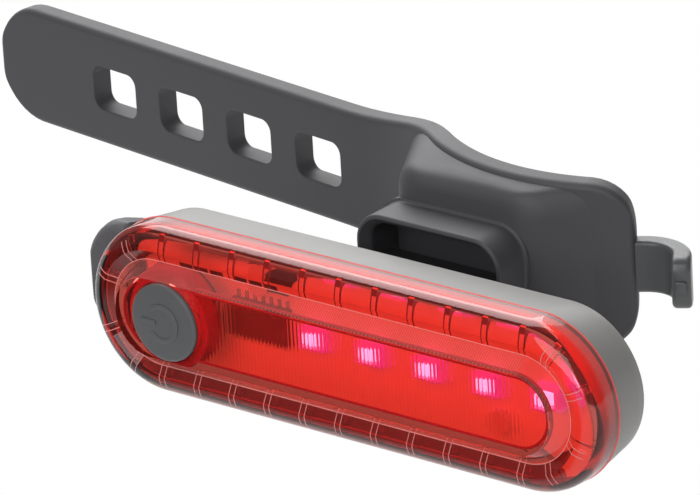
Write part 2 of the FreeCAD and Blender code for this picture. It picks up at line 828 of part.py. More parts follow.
def make_strap_links(blank):
    """The strap bends at its webs: one link round each hole, the last with the tip."""
    links = []
    radius = band_thickness / 2
    for k in range(strap_hole_count):
        link = blank.common(beyond_flex(k))
        if k + 1 < strap_hole_count:
            link = link.cut(beyond_flex(k + 1)).cut(flex_cylinder(k + 1, radius + flex_gap))
        link = link.cut(strap_hole(k))
        round_end = flex_cylinder(k, radius).common(blank)
        links.append(link.fuse(round_end).removeSplitter())
    return links


def boss():
    """Swelling on the front of the saddle that carries the socket: its plan and its side view,
    each drawn as an outline, crossed with each other."""
    face_y = socket_front + socket_length
    back_y = PLAN["strap_root"].y
    half = saddle_half_height
    run = boss_right - boss_face_right
    radius = (run ** 2 + face_y ** 2) / (2 * -face_y)
    lean = math.asin(run / radius) / 2
    middle = V(boss_face_right + radius * math.sin(lean), face_y + radius * (1 - math.cos(lean)), -half)
    flank = Part.Arc(V(boss_face_right, face_y, -half), middle, V(boss_right, 0, -half))
    plan = [V(boss_right, 0, -half), V(boss_right, back_y, -half), V(boss_left, back_y, -half),
            V(boss_left, PLAN["left_front"].y, -half), V(boss_face_left, face_y, -half),
            V(boss_face_right, face_y, -half)]
    edges = [Part.LineSegment(a, b).toShape() for a, b in zip(plan, plan[1:])] + [flank.toShape()]
    block = Part.Face(Part.Wire(edges)).extrude(V(0, 0, 2 * half))

    r = boss_round
    base = boss_base_half_height
    top = boss_face_half_height
    k = r * (1 - math.sqrt(0.5))
    side = []
    for s in (1, -1):
        side.append(Part.LineSegment(V(boss_left, face_y, 0), V(boss_left, face_y, s * (top - r))).toShape())
        side.append(Part.Arc(V(boss_left, face_y, s * (top - r)), V(boss_left, face_y + k, s * (top - k)),
                             V(boss_left, face_y + r, s * top)).toShape())
        side.append(Part.LineSegment(V(boss_left, face_y + r, s * top),
                                     V(boss_left, PLAN["left_front"].y, s * base)).toShape())
        side.append(Part.LineSegment(V(boss_left, PLAN["left_front"].y, s * base),
                                     V(boss_left, back_y, s * base)).toShape())
        side.append(Part.LineSegment(V(boss_left, back_y, s * base), V(boss_left, back_y, 0)).toShape())
    profile = Part.Face(Part.Wire(Part.sortEdges(side)[0])).extrude(V(boss_right - boss_left, 0, 0))
    return block.common(profile)


def hook_path():
    """Centre line of the hook seen from above: out of the saddle's right end and round."""
    seat = PLAN["seat_centre"]
    middle = seat_radius + band_thickness / 2
    tail_angle = math.degrees(hook_tail_depth / middle)
    start = polar(seat, middle, PLAN["right"] - tail_angle)
    exit_point = polar(seat, middle, PLAN["right"])
    heading = PLAN["right"] + 90
    ahead = polar(V(0, 0, 0), 1, heading)
    bend_start = exit_point + ahead * hook_lead
    bend_centre = bend_start + polar(V(0, 0, 0), hook_bend_radius, heading - 90)
    bend_end = polar(bend_centre, hook_bend_radius, heading + 90 - hook_turn)
    leg_end = bend_end + polar(V(0, 0, 0), hook_leg, heading - hook_turn)
    return start, exit_point, bend_start, bend_centre, bend_end, leg_end, heading


def hook_band(thickness, half_height):
    """Hook strip: an arc inside the saddle, a lead, a bend and a leg, thickened to both sides."""
    start, exit_point, bend_start, bend_centre, bend_end, leg_end, heading = hook_path()
    seat = PLAN["seat_centre"]
    middle = seat_radius + band_thickness / 2
    tail = math.degrees(hook_tail_depth / middle)
    h = thickness / 2
    right = PLAN["right"]

    def side(sign):
        shift = polar(V(0, 0, 0), sign * h, heading + 90)
        lean = polar(V(0, 0, 0), sign * h, heading - hook_turn + 90)
        return (arc_edge(seat, middle - sign * h, right - tail, right),
                Part.LineSegment(exit_point + shift, bend_start + shift).toShape(),
                arc_edge(bend_centre, hook_bend_radius + sign * h, heading + 90, heading + 90 - hook_turn),
                Part.LineSegment(bend_end + lean, leg_end + lean).toShape(), leg_end + lean)

    outer = side(1)
    inner = side(-1)
    tail_end = Part.LineSegment(polar(seat, middle - h, right - tail),
                                polar(seat, middle + h, right - tail)).toShape()
    leg_face = Part.LineSegment(outer[4], inner[4]).toShape()
    wire = Part.Wire(Part.sortEdges(list(outer[:4]) + list(inner[:4]) + [tail_end, leg_face])[0])
    return Part.Face(wire).translated(V(0, 0, -half_height)).extrude(V(0, 0, 2 * half_height))


def make_strap_hook():
    """Hard hook moulded into the saddle's right end, with a small nib on its front."""
    hook = hook_band(hook_thickness, hook_half_height)
    leg_end = hook_path()[5]
    heading = hook_path()[6] - hook_turn
    nib = box(-nib_width / 2, nib_width / 2, -EPS, nib_rise, -nib_width / 2, nib_width / 2)
    nib.rotate(V(0, 0, 0), Z_AXIS, heading - 90)
    return hook.fuse(nib.translated(leg_end)).removeSplitter()


def make_saddle(blank):
    """Rubber saddle with its strap root, boss and socket."""
    plate = blank.cut(beyond_flex(0)).cut(flex_cylinder(0, band_thickness / 2 + flex_gap))
    reach = 2 * seat_radius
    in_front = band_face(reach, 0, reach / 2 - EPS)
    in_front = in_front.translated(V(0, 0, -saddle_half_height)).extrude(V(0, 0, 2 * saddle_half_height))
    swelling = boss().common(in_front).common(saddle_outline()).common(rounded_right_end())
    tube = rounded_block(socket_width, socket_height, socket_corner, socket_front,
                         PLAN["left_front"].y - band_thickness / 2, socket_x).common(in_front)
    hollow = rounded_block(2 * hollow_half_width, 2 * hollow_half_height, hollow_corner,
                           socket_front - EPS, socket_floor, socket_x)
    entry = frustum(rounded_wire(socket_width - 2 * socket_rim, socket_height - 2 * socket_rim,
                                 socket_corner - socket_rim, socket_x, socket_front - EPS, 0),
                    rounded_wire(2 * hollow_half_width, 2 * hollow_half_height, hollow_corner,
                                 socket_x, socket_front + socket_entry, 0))
    body = plate.fuse(swelling).fuse(tube).cut([hollow, entry, hook_band(hook_thickness, hook_half_height)])
    return body.removeSplitter()


def write(shape, name, place=None):
    if place is not None:
        shape = shape.translated(place)
    assert shape.isValid(), name
    shape.exportStep("parts/" + name + ".step")
    print(name, len(shape.Solids), round(shape.Volume, 2))


def main():
    os.makedirs("parts", exist_ok=True)
    lamp = {
        "housing": make_housing(),
        "lens": make_lens(),
        "lens_seal": make_lens_seal(),
        "power_button": make_power_button(),
        "switch_body": make_switch_body(),
        "switch_plunger": make_switch_plunger(),
        "circuit_board": make_circuit_board(),
        "control_chip": make_control_chip(),
        "board_resistors": make_board_resistors(),
        "board_capacitor": make_capacitor(),
        "port_shell": make_port_shell(),
        "port_tongue": make_port_tongue(),
        "port_cover": make_port_cover(),
        "cover_anchor": make_cover_anchor(),
        "battery_cell": make_cell(),
        "battery_tape": make_cell_tape(),
        "battery_lead_red": make_cell_lead(1),
        "battery_lead_black": make_cell_lead(-1),
        "board_screws": make_board_screws(),
        "rear_clip": make_rear_clip(),
        "clip_screws": make_clip_screws(),
    }
    for k in range(led_count):
        lamp["led_" + str(k + 1)] = make_led(k)
    for name, shape in lamp.items():
        write(shape, name, lamp_place)

    blank = strap_blank()
    write(make_saddle(blank), "saddle")
    write(make_strap_hook(), "strap_hook")
    links = make_strap_links(blank)
    for k, link in enumerate(links[:-1]):
        write(link, "strap_link_" + str(k + 1))
    write(links[-1], "strap_tip")


main()
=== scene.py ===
import math

import bmesh
import bpy
from bpy.props import FloatProperty, FloatVectorProperty, IntProperty, PointerProperty
from mathutils import Matrix, Vector


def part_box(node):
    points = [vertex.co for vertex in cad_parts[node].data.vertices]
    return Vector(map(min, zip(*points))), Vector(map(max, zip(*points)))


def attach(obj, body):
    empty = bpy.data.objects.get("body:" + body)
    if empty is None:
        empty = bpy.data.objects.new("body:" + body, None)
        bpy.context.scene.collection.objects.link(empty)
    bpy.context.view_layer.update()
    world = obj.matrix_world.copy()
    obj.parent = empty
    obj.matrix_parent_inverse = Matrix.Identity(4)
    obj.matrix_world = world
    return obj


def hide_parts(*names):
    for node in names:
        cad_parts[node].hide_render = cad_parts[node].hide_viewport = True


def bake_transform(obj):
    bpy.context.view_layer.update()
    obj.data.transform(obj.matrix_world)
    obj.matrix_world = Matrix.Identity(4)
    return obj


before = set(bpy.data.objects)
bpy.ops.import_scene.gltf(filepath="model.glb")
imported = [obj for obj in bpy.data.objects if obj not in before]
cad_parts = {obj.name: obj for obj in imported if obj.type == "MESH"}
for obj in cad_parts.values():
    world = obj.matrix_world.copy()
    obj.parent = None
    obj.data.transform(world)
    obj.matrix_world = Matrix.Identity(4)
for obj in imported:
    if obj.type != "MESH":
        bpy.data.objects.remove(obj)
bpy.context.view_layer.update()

bl_info = {
    "name": "Bike Light Finish",
    "version": (1, 0, 0),
    "blender": (4, 5, 0),
    "location": "View3D > Sidebar > Bike Light",
    "description": "Dresses the bicycle rear light's frame: ribbed red lens, grey shell and rubber bracket",
    "category": "Object",
}

MM = 0.001
# Too small to see: the gap left where a turned face would close on itself, and the largest
# distance over which doubled points merge.
HAIR = 0.001 * MM


def corners(name):
    """Low and high corner of a CAD node's box."""
    return [Vector(corner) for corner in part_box(name)]


# The lamp's own origin: the middle of the joint between lens and housing.
LENS_LOW, LENS_HIGH = corners("lens")
LAMP = Vector(((LENS_LOW.x + LENS_HIGH.x) / 2, corners("housing")[0].y, (LENS_LOW.z + LENS_HIGH.z) / 2))
LAMP_RADIUS = (LENS_HIGH.z - LENS_LOW.z) / 2
LAMP_END = (LENS_HIGH.x - LENS_LOW.x) / 2 - LAMP_RADIUS
PLATEAU_HEIGHT = LAMP.y - LENS_LOW.y
BUTTON_LOW, BUTTON_HIGH = corners("power_button")
BUTTON_AXIS = Vector(((BUTTON_LOW.x + BUTTON_HIGH.x) / 2, LAMP.y, LAMP.z))
FLANGE_RADIUS = (BUTTON_HIGH.x - BUTTON_LOW.x) / 2
CAP_RADIUS = FLANGE_RADIUS - 1.0 * MM
BORE_RADIUS = CAP_RADIUS + 0.15 * MM
LED_NODES = sorted(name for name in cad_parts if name.startswith("led_"))


def length(name, default, description):
    """A size in metres that a user can set."""
    return FloatProperty(name=name, description=description, default=default, unit="LENGTH",
                         subtype="DISTANCE", precision=5)


def colour(name, default, description):
    """A linear colour that a user can set."""
    return FloatVectorProperty(name=name, description=description, default=default, size=3,
                               subtype="COLOR", min=0.0, max=8.0)


def turn(name, degrees, description):
    """An angle that a user can set, given in degrees."""
    return FloatProperty(name=name, description=description, default=math.radians(degrees),
                         subtype="ANGLE", unit="ROTATION")


class LensSizes(bpy.types.PropertyGroup):
    wall: length("Wall", 1.5 * MM, "Thickness of the lens")
    skirt: length("Skirt", 2.2 * MM, "Straight side before the rounded edge")
    edge_radius: length("Edge radius", 2.6 * MM, "Outer rounding between skirt and ring")
    ring_dip: length("Ring depth", 4.1 * MM, "Where the sunken ring meets the raised middle")
    plateau_base: length("Plateau base", 6.7 * MM, "Half width of the raised middle at its foot")
    plateau_face: length("Plateau face", 5.0 * MM, "Half width of the raised middle at its face")
    flute_pitch: length("Flute pitch", 0.55 * MM, "Distance between the fine upright flutes")
    flute_depth: length("Flute depth", 0.06 * MM, "Depth of the fine upright flutes")
    rib_pitch: length("Rib pitch", 5.3 * MM, "Distance between the ribs in the ring")
    rib_width: length("Rib width", 0.8 * MM, "Width of the ribs in the ring")
    bead: length("Rib edge", 0.06 * MM, "Half width of the ribs' fine edges")
    rib_height: length("Rib height", 0.2 * MM, "How far the ribs stand in from the ring")
    rib_count: IntProperty(name="Ribs", description="Ribs along each straight side", default=11, min=1)
    near_spoke: turn("Near spokes", 24, "Angle of the end ribs next to the long axis")
    far_spoke: turn("Far spokes", 62, "Angle of the end ribs next to the straight sides")


class BracketSizes(bpy.types.PropertyGroup):
    thickness: length("Thickness", 3.1 * MM, "Thickness of saddle and strap")
    seat_radius: length("Seat radius", 25 * MM, "Radius of the seat for the post")
    seat_right: turn("Seat right end", 31.5, "Where the seat ends on the hook's side")
    seat_left: turn("Seat left end", 36, "Where the seat turns into the strap")
    strap_turn: turn("Strap angle", 7.6, "How far the strap trails back")
    sweep_radius: length("Sweep radius", 34 * MM, "Reverse bend between seat and strap, on the back")
    saddle_half: length("Saddle half height", 10.4 * MM, "Half height of the saddle")
    strap_half: length("Strap half height", 7.7 * MM, "Half height of the strap")
    shoulder_start: length("Shoulder start", 10 * MM, "Left of the seat's middle, still full height")
    shoulder_run: length("Shoulder run", 25 * MM, "Over which the saddle draws in to the strap")
    corner: length("Saddle corner", 5 * MM, "Corner rounding at the right end")
    edge_round: length("Edge rounding", 0.85 * MM, "Rounding of the moulded edges")
    hole_pitch: length("Hole pitch", 12.37 * MM, "Distance between the strap's holes")
    hole_width: length("Hole width", 7.9 * MM, "Width of the holes along the strap")
    hole_height: length("Hole height", 5.8 * MM, "Height of the holes")
    hole_corner: length("Hole corner", 1.45 * MM, "Corner rounding of the holes")
    first_hole: length("First hole", 8.8 * MM, "From the strap's root to the first hole")
    tip_run: length("Tip run", 21.8 * MM, "From the last hole to the tip")
    tip_corner: length("Tip corner", 7.3 * MM, "Corner rounding of the tip")


class Finishes(bpy.types.PropertyGroup):
    lens_tint: colour("Lens tint", (0.96, 0.175, 0.135), "What one pass through the lens keeps")
    shell_grey: colour("Shell grey", (0.285, 0.28, 0.27), "Housing")
    rubber: colour("Rubber", (0.058, 0.057, 0.063), "Saddle and strap")
    cover: colour("Cover rubber", (0.085, 0.084, 0.092), "Charging-port cover")
    button: colour("Button rubber", (0.085, 0.087, 0.092), "Power button")
    hook: colour("Hook plastic", (0.075, 0.077, 0.080), "Strap hook")
    # Frosted red: the weld's own frosted colour, and also the painted glow of the lens's inner wall, which
    # stands in for LED light scattered in it.
    frosted_and_glow: colour("Frosted red", (0.70, 0.05, 0.04), "Weld of the lens and its lit inner wall")
    lining: colour("Lining", (0.13, 0.014, 0.010), "Inside of the lens's lower wall")
    guide: colour("Guide red", (0.46, 0.016, 0.05), "Guide of the button")
    # Painted highlight: the pale tone of the fine lines over the lower and end ribs, and round the raised
    # middle's foot, stands in for light caught on their edges.
    edges: colour("Rib edges", (0.70, 0.30, 0.28), "Fine edges of the lower ribs")
    # Painted shade: the dark tone of the upper ribs' fine edges stands in for the dark surroundings that
    # they reflect.
    painted_shade_edges: colour("Dark rib edges", (0.22, 0.010, 0.012), "Fine edges of the upper ribs")
    seam: colour("Seam", (0.80, 0.10, 0.09), "Weld line between lens and housing")
    crease: colour("Crease", (0.45, 0.02, 0.05), "Fine line round the lens's raised face")
    milky: colour("Milky", (0.60, 0.25, 0.23), "Haze in the lens's skirt")
    haze: FloatProperty(name="Haze", description="Share of haze in the lens's skirt", default=0.35)
    glow: colour("Glow", (0.16, 0.40, 1.0), "Light of the LEDs before the lens")
    glow_strength: FloatProperty(name="Glow strength", description="Brightness of the LEDs", default=6.4)
    halo: colour("Halo", (0.24, 0.02, 1.0), "Light in the LEDs' packages before the lens")
    halo_strength: FloatProperty(name="Halo strength", description="Brightness of the packages",
                                 default=0.9)


class StageSettings(bpy.types.PropertyGroup):
    azimuth: turn("Azimuth", 39.589, "Camera's direction round the object")
    elevation: turn("Elevation", 22.202, "Camera's height above the horizon")
    roll: turn("Roll", -3.284, "Camera's roll")
    distance: length("Distance", 753.07 * MM, "From the camera to the lamp's origin")
    focal_px: FloatProperty(name="Focal length", description="In pixels of a 700-wide picture",
                            default=6495.96)
    aim_x: FloatProperty(name="Aim across", description="Pixel of the lamp's origin", default=358.97)
    aim_y: FloatProperty(name="Aim down", description="Pixel of the lamp's origin", default=347.58)
    floor_drop: length("Floor drop", 90 * MM, "From the lamp's origin down to the floor")


PICTURE_WIDTH = 700
PICTURE_HEIGHT = 495
SENSOR = 36.0


# Meshes

def new_piece(name, mesh):
    piece = bpy.data.objects.new(name, mesh)
    bpy.context.scene.collection.objects.link(piece)
    return piece


def discard(piece):
    mesh = piece.data
    bpy.data.objects.remove(piece)
    bpy.data.meshes.remove(mesh)


def mesh_from(name, points, faces):
    mesh = bpy.data.meshes.new(name)
    mesh.from_pydata([tuple(p) for p in points], [], faces)
    return mesh


def skinned(name, points, faces):
    """Piece from points and faces, merged and turned outwards."""
    mesh = mesh_from(name, points, faces)
    tidy_mesh(mesh)
    return new_piece(name, mesh)


def tidy_mesh(mesh, merge=HAIR / 10):
    """Merges doubled points, drops faces without area and turns every face outwards."""
    bm = bmesh.new()
    bm.from_mesh(mesh)
    bmesh.ops.remove_doubles(bm, verts=bm.verts, dist=merge)
    bmesh.ops.dissolve_degenerate(bm, edges=bm.edges, dist=merge)
    bmesh.ops.recalc_face_normals(bm, faces=bm.faces)
    bm.to_mesh(mesh)
    bm.free()
    mesh.update()


def bake(piece):
    """Turns what the modifiers make into the piece's plain mesh."""
    bpy.context.view_layer.update()
    graph = bpy.context.evaluated_depsgraph_get()
    mesh = bpy.data.meshes.new_from_object(piece.evaluated_get(graph), depsgraph=graph)
    piece.modifiers.clear()
    piece.data = mesh
    return piece


def settle(piece, sharp, weighted=True):
    """Smooth shading with creases over a sharp angle, and even normals on flat faces."""
    piece.data.shade_smooth()
    piece.data.set_sharp_from_angle(angle=math.radians(sharp))
    if weighted:
        piece.modifiers.new("even_normals", "WEIGHTED_NORMAL").keep_sharp = True
    return bake(piece)


def carve(piece, cutter, operation="DIFFERENCE"):
    """Takes a cutter away from a piece, or joins it, and removes the cutter."""
    step = piece.modifiers.new("carve", "BOOLEAN")
    step.operation = operation
    step.solver = "EXACT"
    step.object = cutter
    bake(piece)
    discard(cutter)


def join(piece, others):
    """Adds the other pieces' closed skins to a piece's mesh."""
    bm = bmesh.new()
    bm.from_mesh(piece.data)
    for other in others:
        bm.from_mesh(other.data)
        discard(other)
    bm.to_mesh(piece.data)
    bm.free()
    return piece


def lattice(rows, wrap):
    """Faces of a grid of points given row by row."""
    count = len(rows[0])
    points = [p for row in rows for p in row]
    faces = []
    for i in range(len(rows) - 1):
        for j in range(count if wrap else count - 1):
            k = (j + 1) % count
            faces.append((i * count + j, i * count + k, (i + 1) * count + k, (i + 1) * count + j))
    return points, faces


def closed_tube(name, rows):
    """Closed skin through loops of points, with a flat face over the first and the last loop."""
    points, faces = lattice(rows, True)
    count = len(rows[0])
    faces.append(tuple(range(count)))
    faces.append(tuple(range(len(points) - 1, len(points) - 1 - count, -1)))
    return skinned(name, points, faces)


def closed_ring(name, rows):
    """Closed skin through loops of points, the last joined to the first."""
    return skinned(name, *lattice(rows + rows[:1], True))


def rounded_loop(half_width, half_height, radius, steps=6):
    """Points (a, b) of a rounded rectangle, anticlockwise from its right side."""
    radius = min(radius, half_width - HAIR, half_height - HAIR)
    loop = []
    for quarter, (sx, sy) in enumerate(((1, 1), (-1, 1), (-1, -1), (1, -1))):
        for i in range(steps + 1):
            angle = math.pi / 2 * (quarter + i / steps)
            loop.append((sx * (half_width - radius) + radius * math.cos(angle),
                         sy * (half_height - radius) + radius * math.sin(angle)))
    return loop


def arc_points(centre, radius, start, end, steps):
    """Points (r, y) of an arc, angles in degrees from +r towards +y, the first left out."""
    return [(centre[0] + radius * math.cos(math.radians(start + (end - start) * i / steps)),
             centre[1] + radius * math.sin(math.radians(start + (end - start) * i / steps)))
            for i in range(1, steps + 1)]


def flared(radius, steps=4):
    """Pairs along a quarter of a circle, from (0, radius) to (radius, 0)."""
    angles = [math.pi / 2 * i / steps for i in range(steps + 1)]
    return [(radius * (1 - math.cos(a)), radius * (1 - math.sin(a))) for a in angles]


def upright(middle, y, loop):
    """Points of a loop (a, b) round a middle, in the upright plane at a depth."""
    return [Vector((middle.x + a, y, middle.z + b)) for a, b in loop]


def bisected(low, high, steps, below):
    """The highest value, found by halving, for which below(value) holds."""
    for _ in range(steps):
        middle = (low + high) / 2
        low, high = (middle, high) if below(middle) else (low, middle)
    return low


def copy_of_node(name, source):
    """A merged, smoothly shaded copy of a CAD node."""
    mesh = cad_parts[source].data.copy()
    mesh.materials.clear()
    tidy_mesh(mesh, HAIR)
    return settle(new_piece(name, mesh), 40)


# Materials

def material(name):
    """A material with its tree emptied, and the place that its own nodes start from."""
    mat = bpy.data.materials.get(name) or bpy.data.materials.new(name)
    mat.use_nodes = True
    tree = mat.node_tree
    tree.nodes.clear()
    return mat, tree, node(tree, "ShaderNodeTexCoord").outputs["Object"]


def node(tree, kind, operation=None, mode=None, **sockets):
    """Adds a node and sets sockets by name or as i0, i1; a value that is a socket is linked."""
    made = tree.nodes.new(kind)
    if operation:
        made.operation = operation
    if mode:
        made.mode = mode
    for key, value in sockets.items():
        socket = made.inputs[int(key[1:])] if key[0] == "i" and key[1:].isdigit() else made.inputs[key]
        if isinstance(value, bpy.types.NodeSocket):
            tree.links.new(value, socket)
        else:
            socket.default_value = value
    return made


def maths(tree, operation, first, second):
    return node(tree, "ShaderNodeMath", operation, i0=first, i1=second).outputs[0]


def axis_of(tree, place, letter):
    return node(tree, "ShaderNodeSeparateXYZ", i0=place).outputs[letter]


def noise(tree, place, scale, detail=3.0, rough=0.5):
    texture = node(tree, "ShaderNodeTexNoise", Vector=place, Scale=scale, Detail=detail, Roughness=rough)
    return texture.outputs["Fac"]


def map_range(tree, value, start, stop, low, high, kind):
    made = node(tree, "ShaderNodeMapRange", **{"Value": value, "From Min": start, "From Max": stop,
                                               "To Min": low, "To Max": high})
    made.interpolation_type = kind
    return made.outputs["Result"]


def span(tree, value, low, high):
    """Maps the values that a noise mostly has on to a range."""
    return map_range(tree, value, 0.25, 0.75, low, high, "LINEAR")


def ramp(tree, value, start, stop, high=1.0):
    """Rises smoothly from 0 to high between two places along an axis."""
    return map_range(tree, value, start, stop, 0.0, high, "SMOOTHSTEP")


def blended(tree, share, first, second):
    """From one colour to another as the share goes from 0 to 1."""
    mix = tree.nodes.new("ShaderNodeMix")
    mix.data_type = "RGBA"
    tree.links.new(share, mix.inputs[0])
    mix.inputs[6].default_value = list(first) + [1]
    mix.inputs[7].default_value = list(second) + [1]
    return mix.outputs[2]


def tinted(tree, tint, share, spread):
    """The colour, from darker to lighter by a spread as the share goes from 0 to 1."""
    return blended(tree, share, [c * (1 - spread) for c in tint], [c * (1 + spread) for c in tint])


def bumped(tree, height, depth):
    return node(tree, "ShaderNodeBump", Strength=1.0, Distance=depth, Height=height).outputs["Normal"]


def plastic(tree, base, roughness, **sockets):
    """A principled shader; an underscore stands for the space in a socket's name."""
    return node(tree, "ShaderNodeBsdfPrincipled", **{"Base Color": base, "Roughness": roughness},
                **{key.replace("_", " "): value for key, value in sockets.items()})


def mixed(tree, share, first, second):
    """From one shader to another as the share goes from 0 to 1."""
    return node(tree, "ShaderNodeMixShader", i0=share, i1=first.outputs[0], i2=second.outputs[0])


def surface(tree, shader, output="ShaderNodeOutputMaterial"):
    tree.links.new(shader.outputs[0], node(tree, output).inputs["Surface"])


def moulded(name, tint, roughness, spread=0.06, rough_spread=0.06, grain=0.25 * MM,
            depth=0.004 * MM, cloud=9 * MM, **sockets):
    """A moulded or pressed finish: faint cloudy colour, uneven gloss and a fine grain."""
    mat, tree, place = material(name)
    clouds = noise(tree, place, 1 / cloud, 4.0, 0.55)
    fine = noise(tree, place, 1 / grain, 2.0, 0.6)
    surface(tree, plastic(tree, tinted(tree, tint, clouds, spread),
                          span(tree, clouds, roughness - rough_spread, roughness + rough_spread),
                          Normal=bumped(tree, fine, depth), **sockets))
    return mat


def clear_red(name, looks, haze):
    """Clear red moulded plastic that lamps shine through; haze(tree, place) gives its milky share."""
    mat, tree, place = material(name)
    clouds = noise(tree, place, 1 / (6 * MM))
    ripple = noise(tree, place, 1 / (2.5 * MM), 1.0)
    glass = plastic(tree, tinted(tree, looks.lens_tint, clouds, 0.02), span(tree, clouds, 0.02, 0.05),
                    Normal=bumped(tree, ripple, 0.002 * MM), Transmission_Weight=1.0, IOR=1.47)
    milk = plastic(tree, tinted(tree, looks.milky, clouds, 0.06), span(tree, clouds, 0.15, 0.25))
    through = node(tree, "ShaderNodeBsdfTransparent", Color=[math.sqrt(c) for c in looks.lens_tint] + [1])
    shadow = node(tree, "ShaderNodeLightPath").outputs["Is Shadow Ray"]
    surface(tree, mixed(tree, shadow, mixed(tree, haze(tree, place), glass, milk), through))
    return mat


def two_toned(name, ramps, first, second, lit):
    """From one tone to another along axes, the second one glowing with a painted light of strength lit;
    ramps as (letter, start, stop).
    """
    mat, tree, place = material(name)
    clouds = noise(tree, place, 1 / (3 * MM))
    share = span(tree, clouds, 0.8, 1.0)
    for letter, start, stop in ramps:
        share = maths(tree, "MULTIPLY", ramp(tree, axis_of(tree, place, letter), start, stop), share)
    surface(tree, plastic(tree, blended(tree, share, first, second), span(tree, clouds, 0.3, 0.4),
                          Emission_Color=blended(tree, share, (0, 0, 0), second),
                          Emission_Strength=lit, Normal=bumped(tree, clouds, 0.001 * MM)))
    return mat


def glowing(name, tint, strength):
    """The lit plastic of an LED, a little uneven."""
    mat, tree, place = material(name)
    fine = noise(tree, place, 1 / (0.6 * MM), 2.0)
    surface(tree, plastic(tree, (0.9, 0.8, 0.7, 1), span(tree, fine, 0.3, 0.5),
                          Emission_Color=tinted(tree, tint, fine, 0.25), Emission_Strength=strength))
    return mat


def dress(name, mat):
    """Gives a CAD node its finish."""
    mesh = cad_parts[name].data
    mesh.materials.clear()
    mesh.materials.append(mat)


def dress_piece(piece, mat, body, slot_name, *replaced):
    piece.data.materials.clear()
    piece.data.materials.append(mat)
    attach(piece, body)
    if replaced:
        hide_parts(*replaced)
    return piece


# Lens

def lens_columns(sizes, face_radius):
    """Where the fine columns of the raised middle stand: x, and how far up and down they reach."""
    step = sizes.flute_pitch / 4
    count = 2 * round(LAMP_END / step)
    columns = [(-LAMP_END + 2 * LAMP_END * i / count, 0.0) for i in range(count + 1)]
    ends = []
    angle = 0.0
    while angle < 90.0 - 1e-6:
        along = step / face_radius / max(math.cos(math.radians(angle)), 0.05)
        angle += min(math.degrees(along), 5.0)
        ends.append(min(angle, 90.0))
    right = [(LAMP_END, a) for a in ends]
    left = [(-LAMP_END, -a) for a in reversed(ends)]
    return left + columns + right


def lens_profiles(sizes):
    """Outer and inner profile of the lens as (r, y) from its face's rim to its skirt's rim."""
    w = sizes.wall
    r = LAMP_RADIUS
    edge = sizes.edge_radius
    outer = [(sizes.plateau_face, -PLATEAU_HEIGHT),
             ((sizes.plateau_face + sizes.plateau_base) / 2, -(PLATEAU_HEIGHT + sizes.ring_dip) / 2),
             (sizes.plateau_base, -sizes.ring_dip),
             ((sizes.plateau_base + r - edge) / 2, -(sizes.ring_dip + sizes.skirt + edge) / 2),
             (r - edge, -sizes.skirt - edge)]
    outer += arc_points((r - edge, -sizes.skirt), edge, -90, 0, 10)
    outer += [(r, -sizes.skirt / 2), (r, 0)]
    slope = (sizes.plateau_base - sizes.plateau_face) / (PLATEAU_HEIGHT - sizes.ring_dip)
    ring = sizes.ring_dip - w
    top = PLATEAU_HEIGHT - w
    base = sizes.plateau_base - w * math.sqrt(1 + slope * slope) + slope * w
    face = base - slope * (top - ring)
    margin = 0.45 * MM
    inner = [(face - margin, -top), (face, -top), ((face + base) / 2, -(top + ring) / 2), (base, -ring),
             ((base + r - w) / 2, -ring), (r - w, -ring), (r - w, -0.5 * ring), (r - w, 0)]
    return outer, inner


def lens_shell(sizes):
    """The stepped lens as one closed skin; the inside of its raised middle carries the flutes."""
    outer, inner = lens_profiles(sizes)
    columns = lens_columns(sizes, inner[0][0])
    round_trip = columns + [(cx, 180.0 - a) for cx, a in reversed(columns)]

    def station(cx, angle, r, y):
        turned = math.radians(angle)
        return Vector((cx + r * math.sin(turned), y, r * math.cos(turned)))

    def fluted(p):
        wave = 0.5 - 0.5 * math.cos(2 * math.pi * p.x / sizes.flute_pitch)
        return Vector((p.x, p.y - sizes.flute_depth * wave, p.z))

    outside, inside = ([[station(cx, a, r, y) for cx, a in round_trip] for r, y in profile]
                       for profile in (outer, inner))
    inside[0] = [fluted(p) for p in inside[0]]
    points, faces = lattice(outside + inside[::-1], True)
    count = len(round_trip)
    half = len(columns)

    def web(first, flip):
        """Closes a face between its upper and its lower edge, column by column."""
        for j in range(half - 1):
            a, b = first + j, first + j + 1
            c, d = first + count - 2 - j, first + count - 1 - j
            faces.append((a, b, c, d) if flip else (d, c, b, a))

    web(0, True)
    web(len(points) - count, False)
    return skinned("lens_shell", [p + LAMP for p in points], faces)


def mark_faces(mesh, sizes):
    """Second finish for the faces on the housing's rim, third for the raised middle's outer bevel."""
    flat, touching = 0.9, 0.02 * MM
    for face in mesh.polygons:
        place = face.center - LAMP
        place.x = math.copysign(max(abs(place.x) - LAMP_END, 0), place.x)
        outward = face.normal.x * place.x + face.normal.z * place.z
        reach = math.hypot(place.x, place.z)
        rim = abs(face.normal.y) > flat and abs(place.y) < touching
        bevel = (sizes.plateau_face < reach < sizes.plateau_base and outward > 0 > face.normal.y > -flat
                 and place.y < -sizes.ring_dip)
        face.material_index = 1 if rim else 2 if bevel else 0


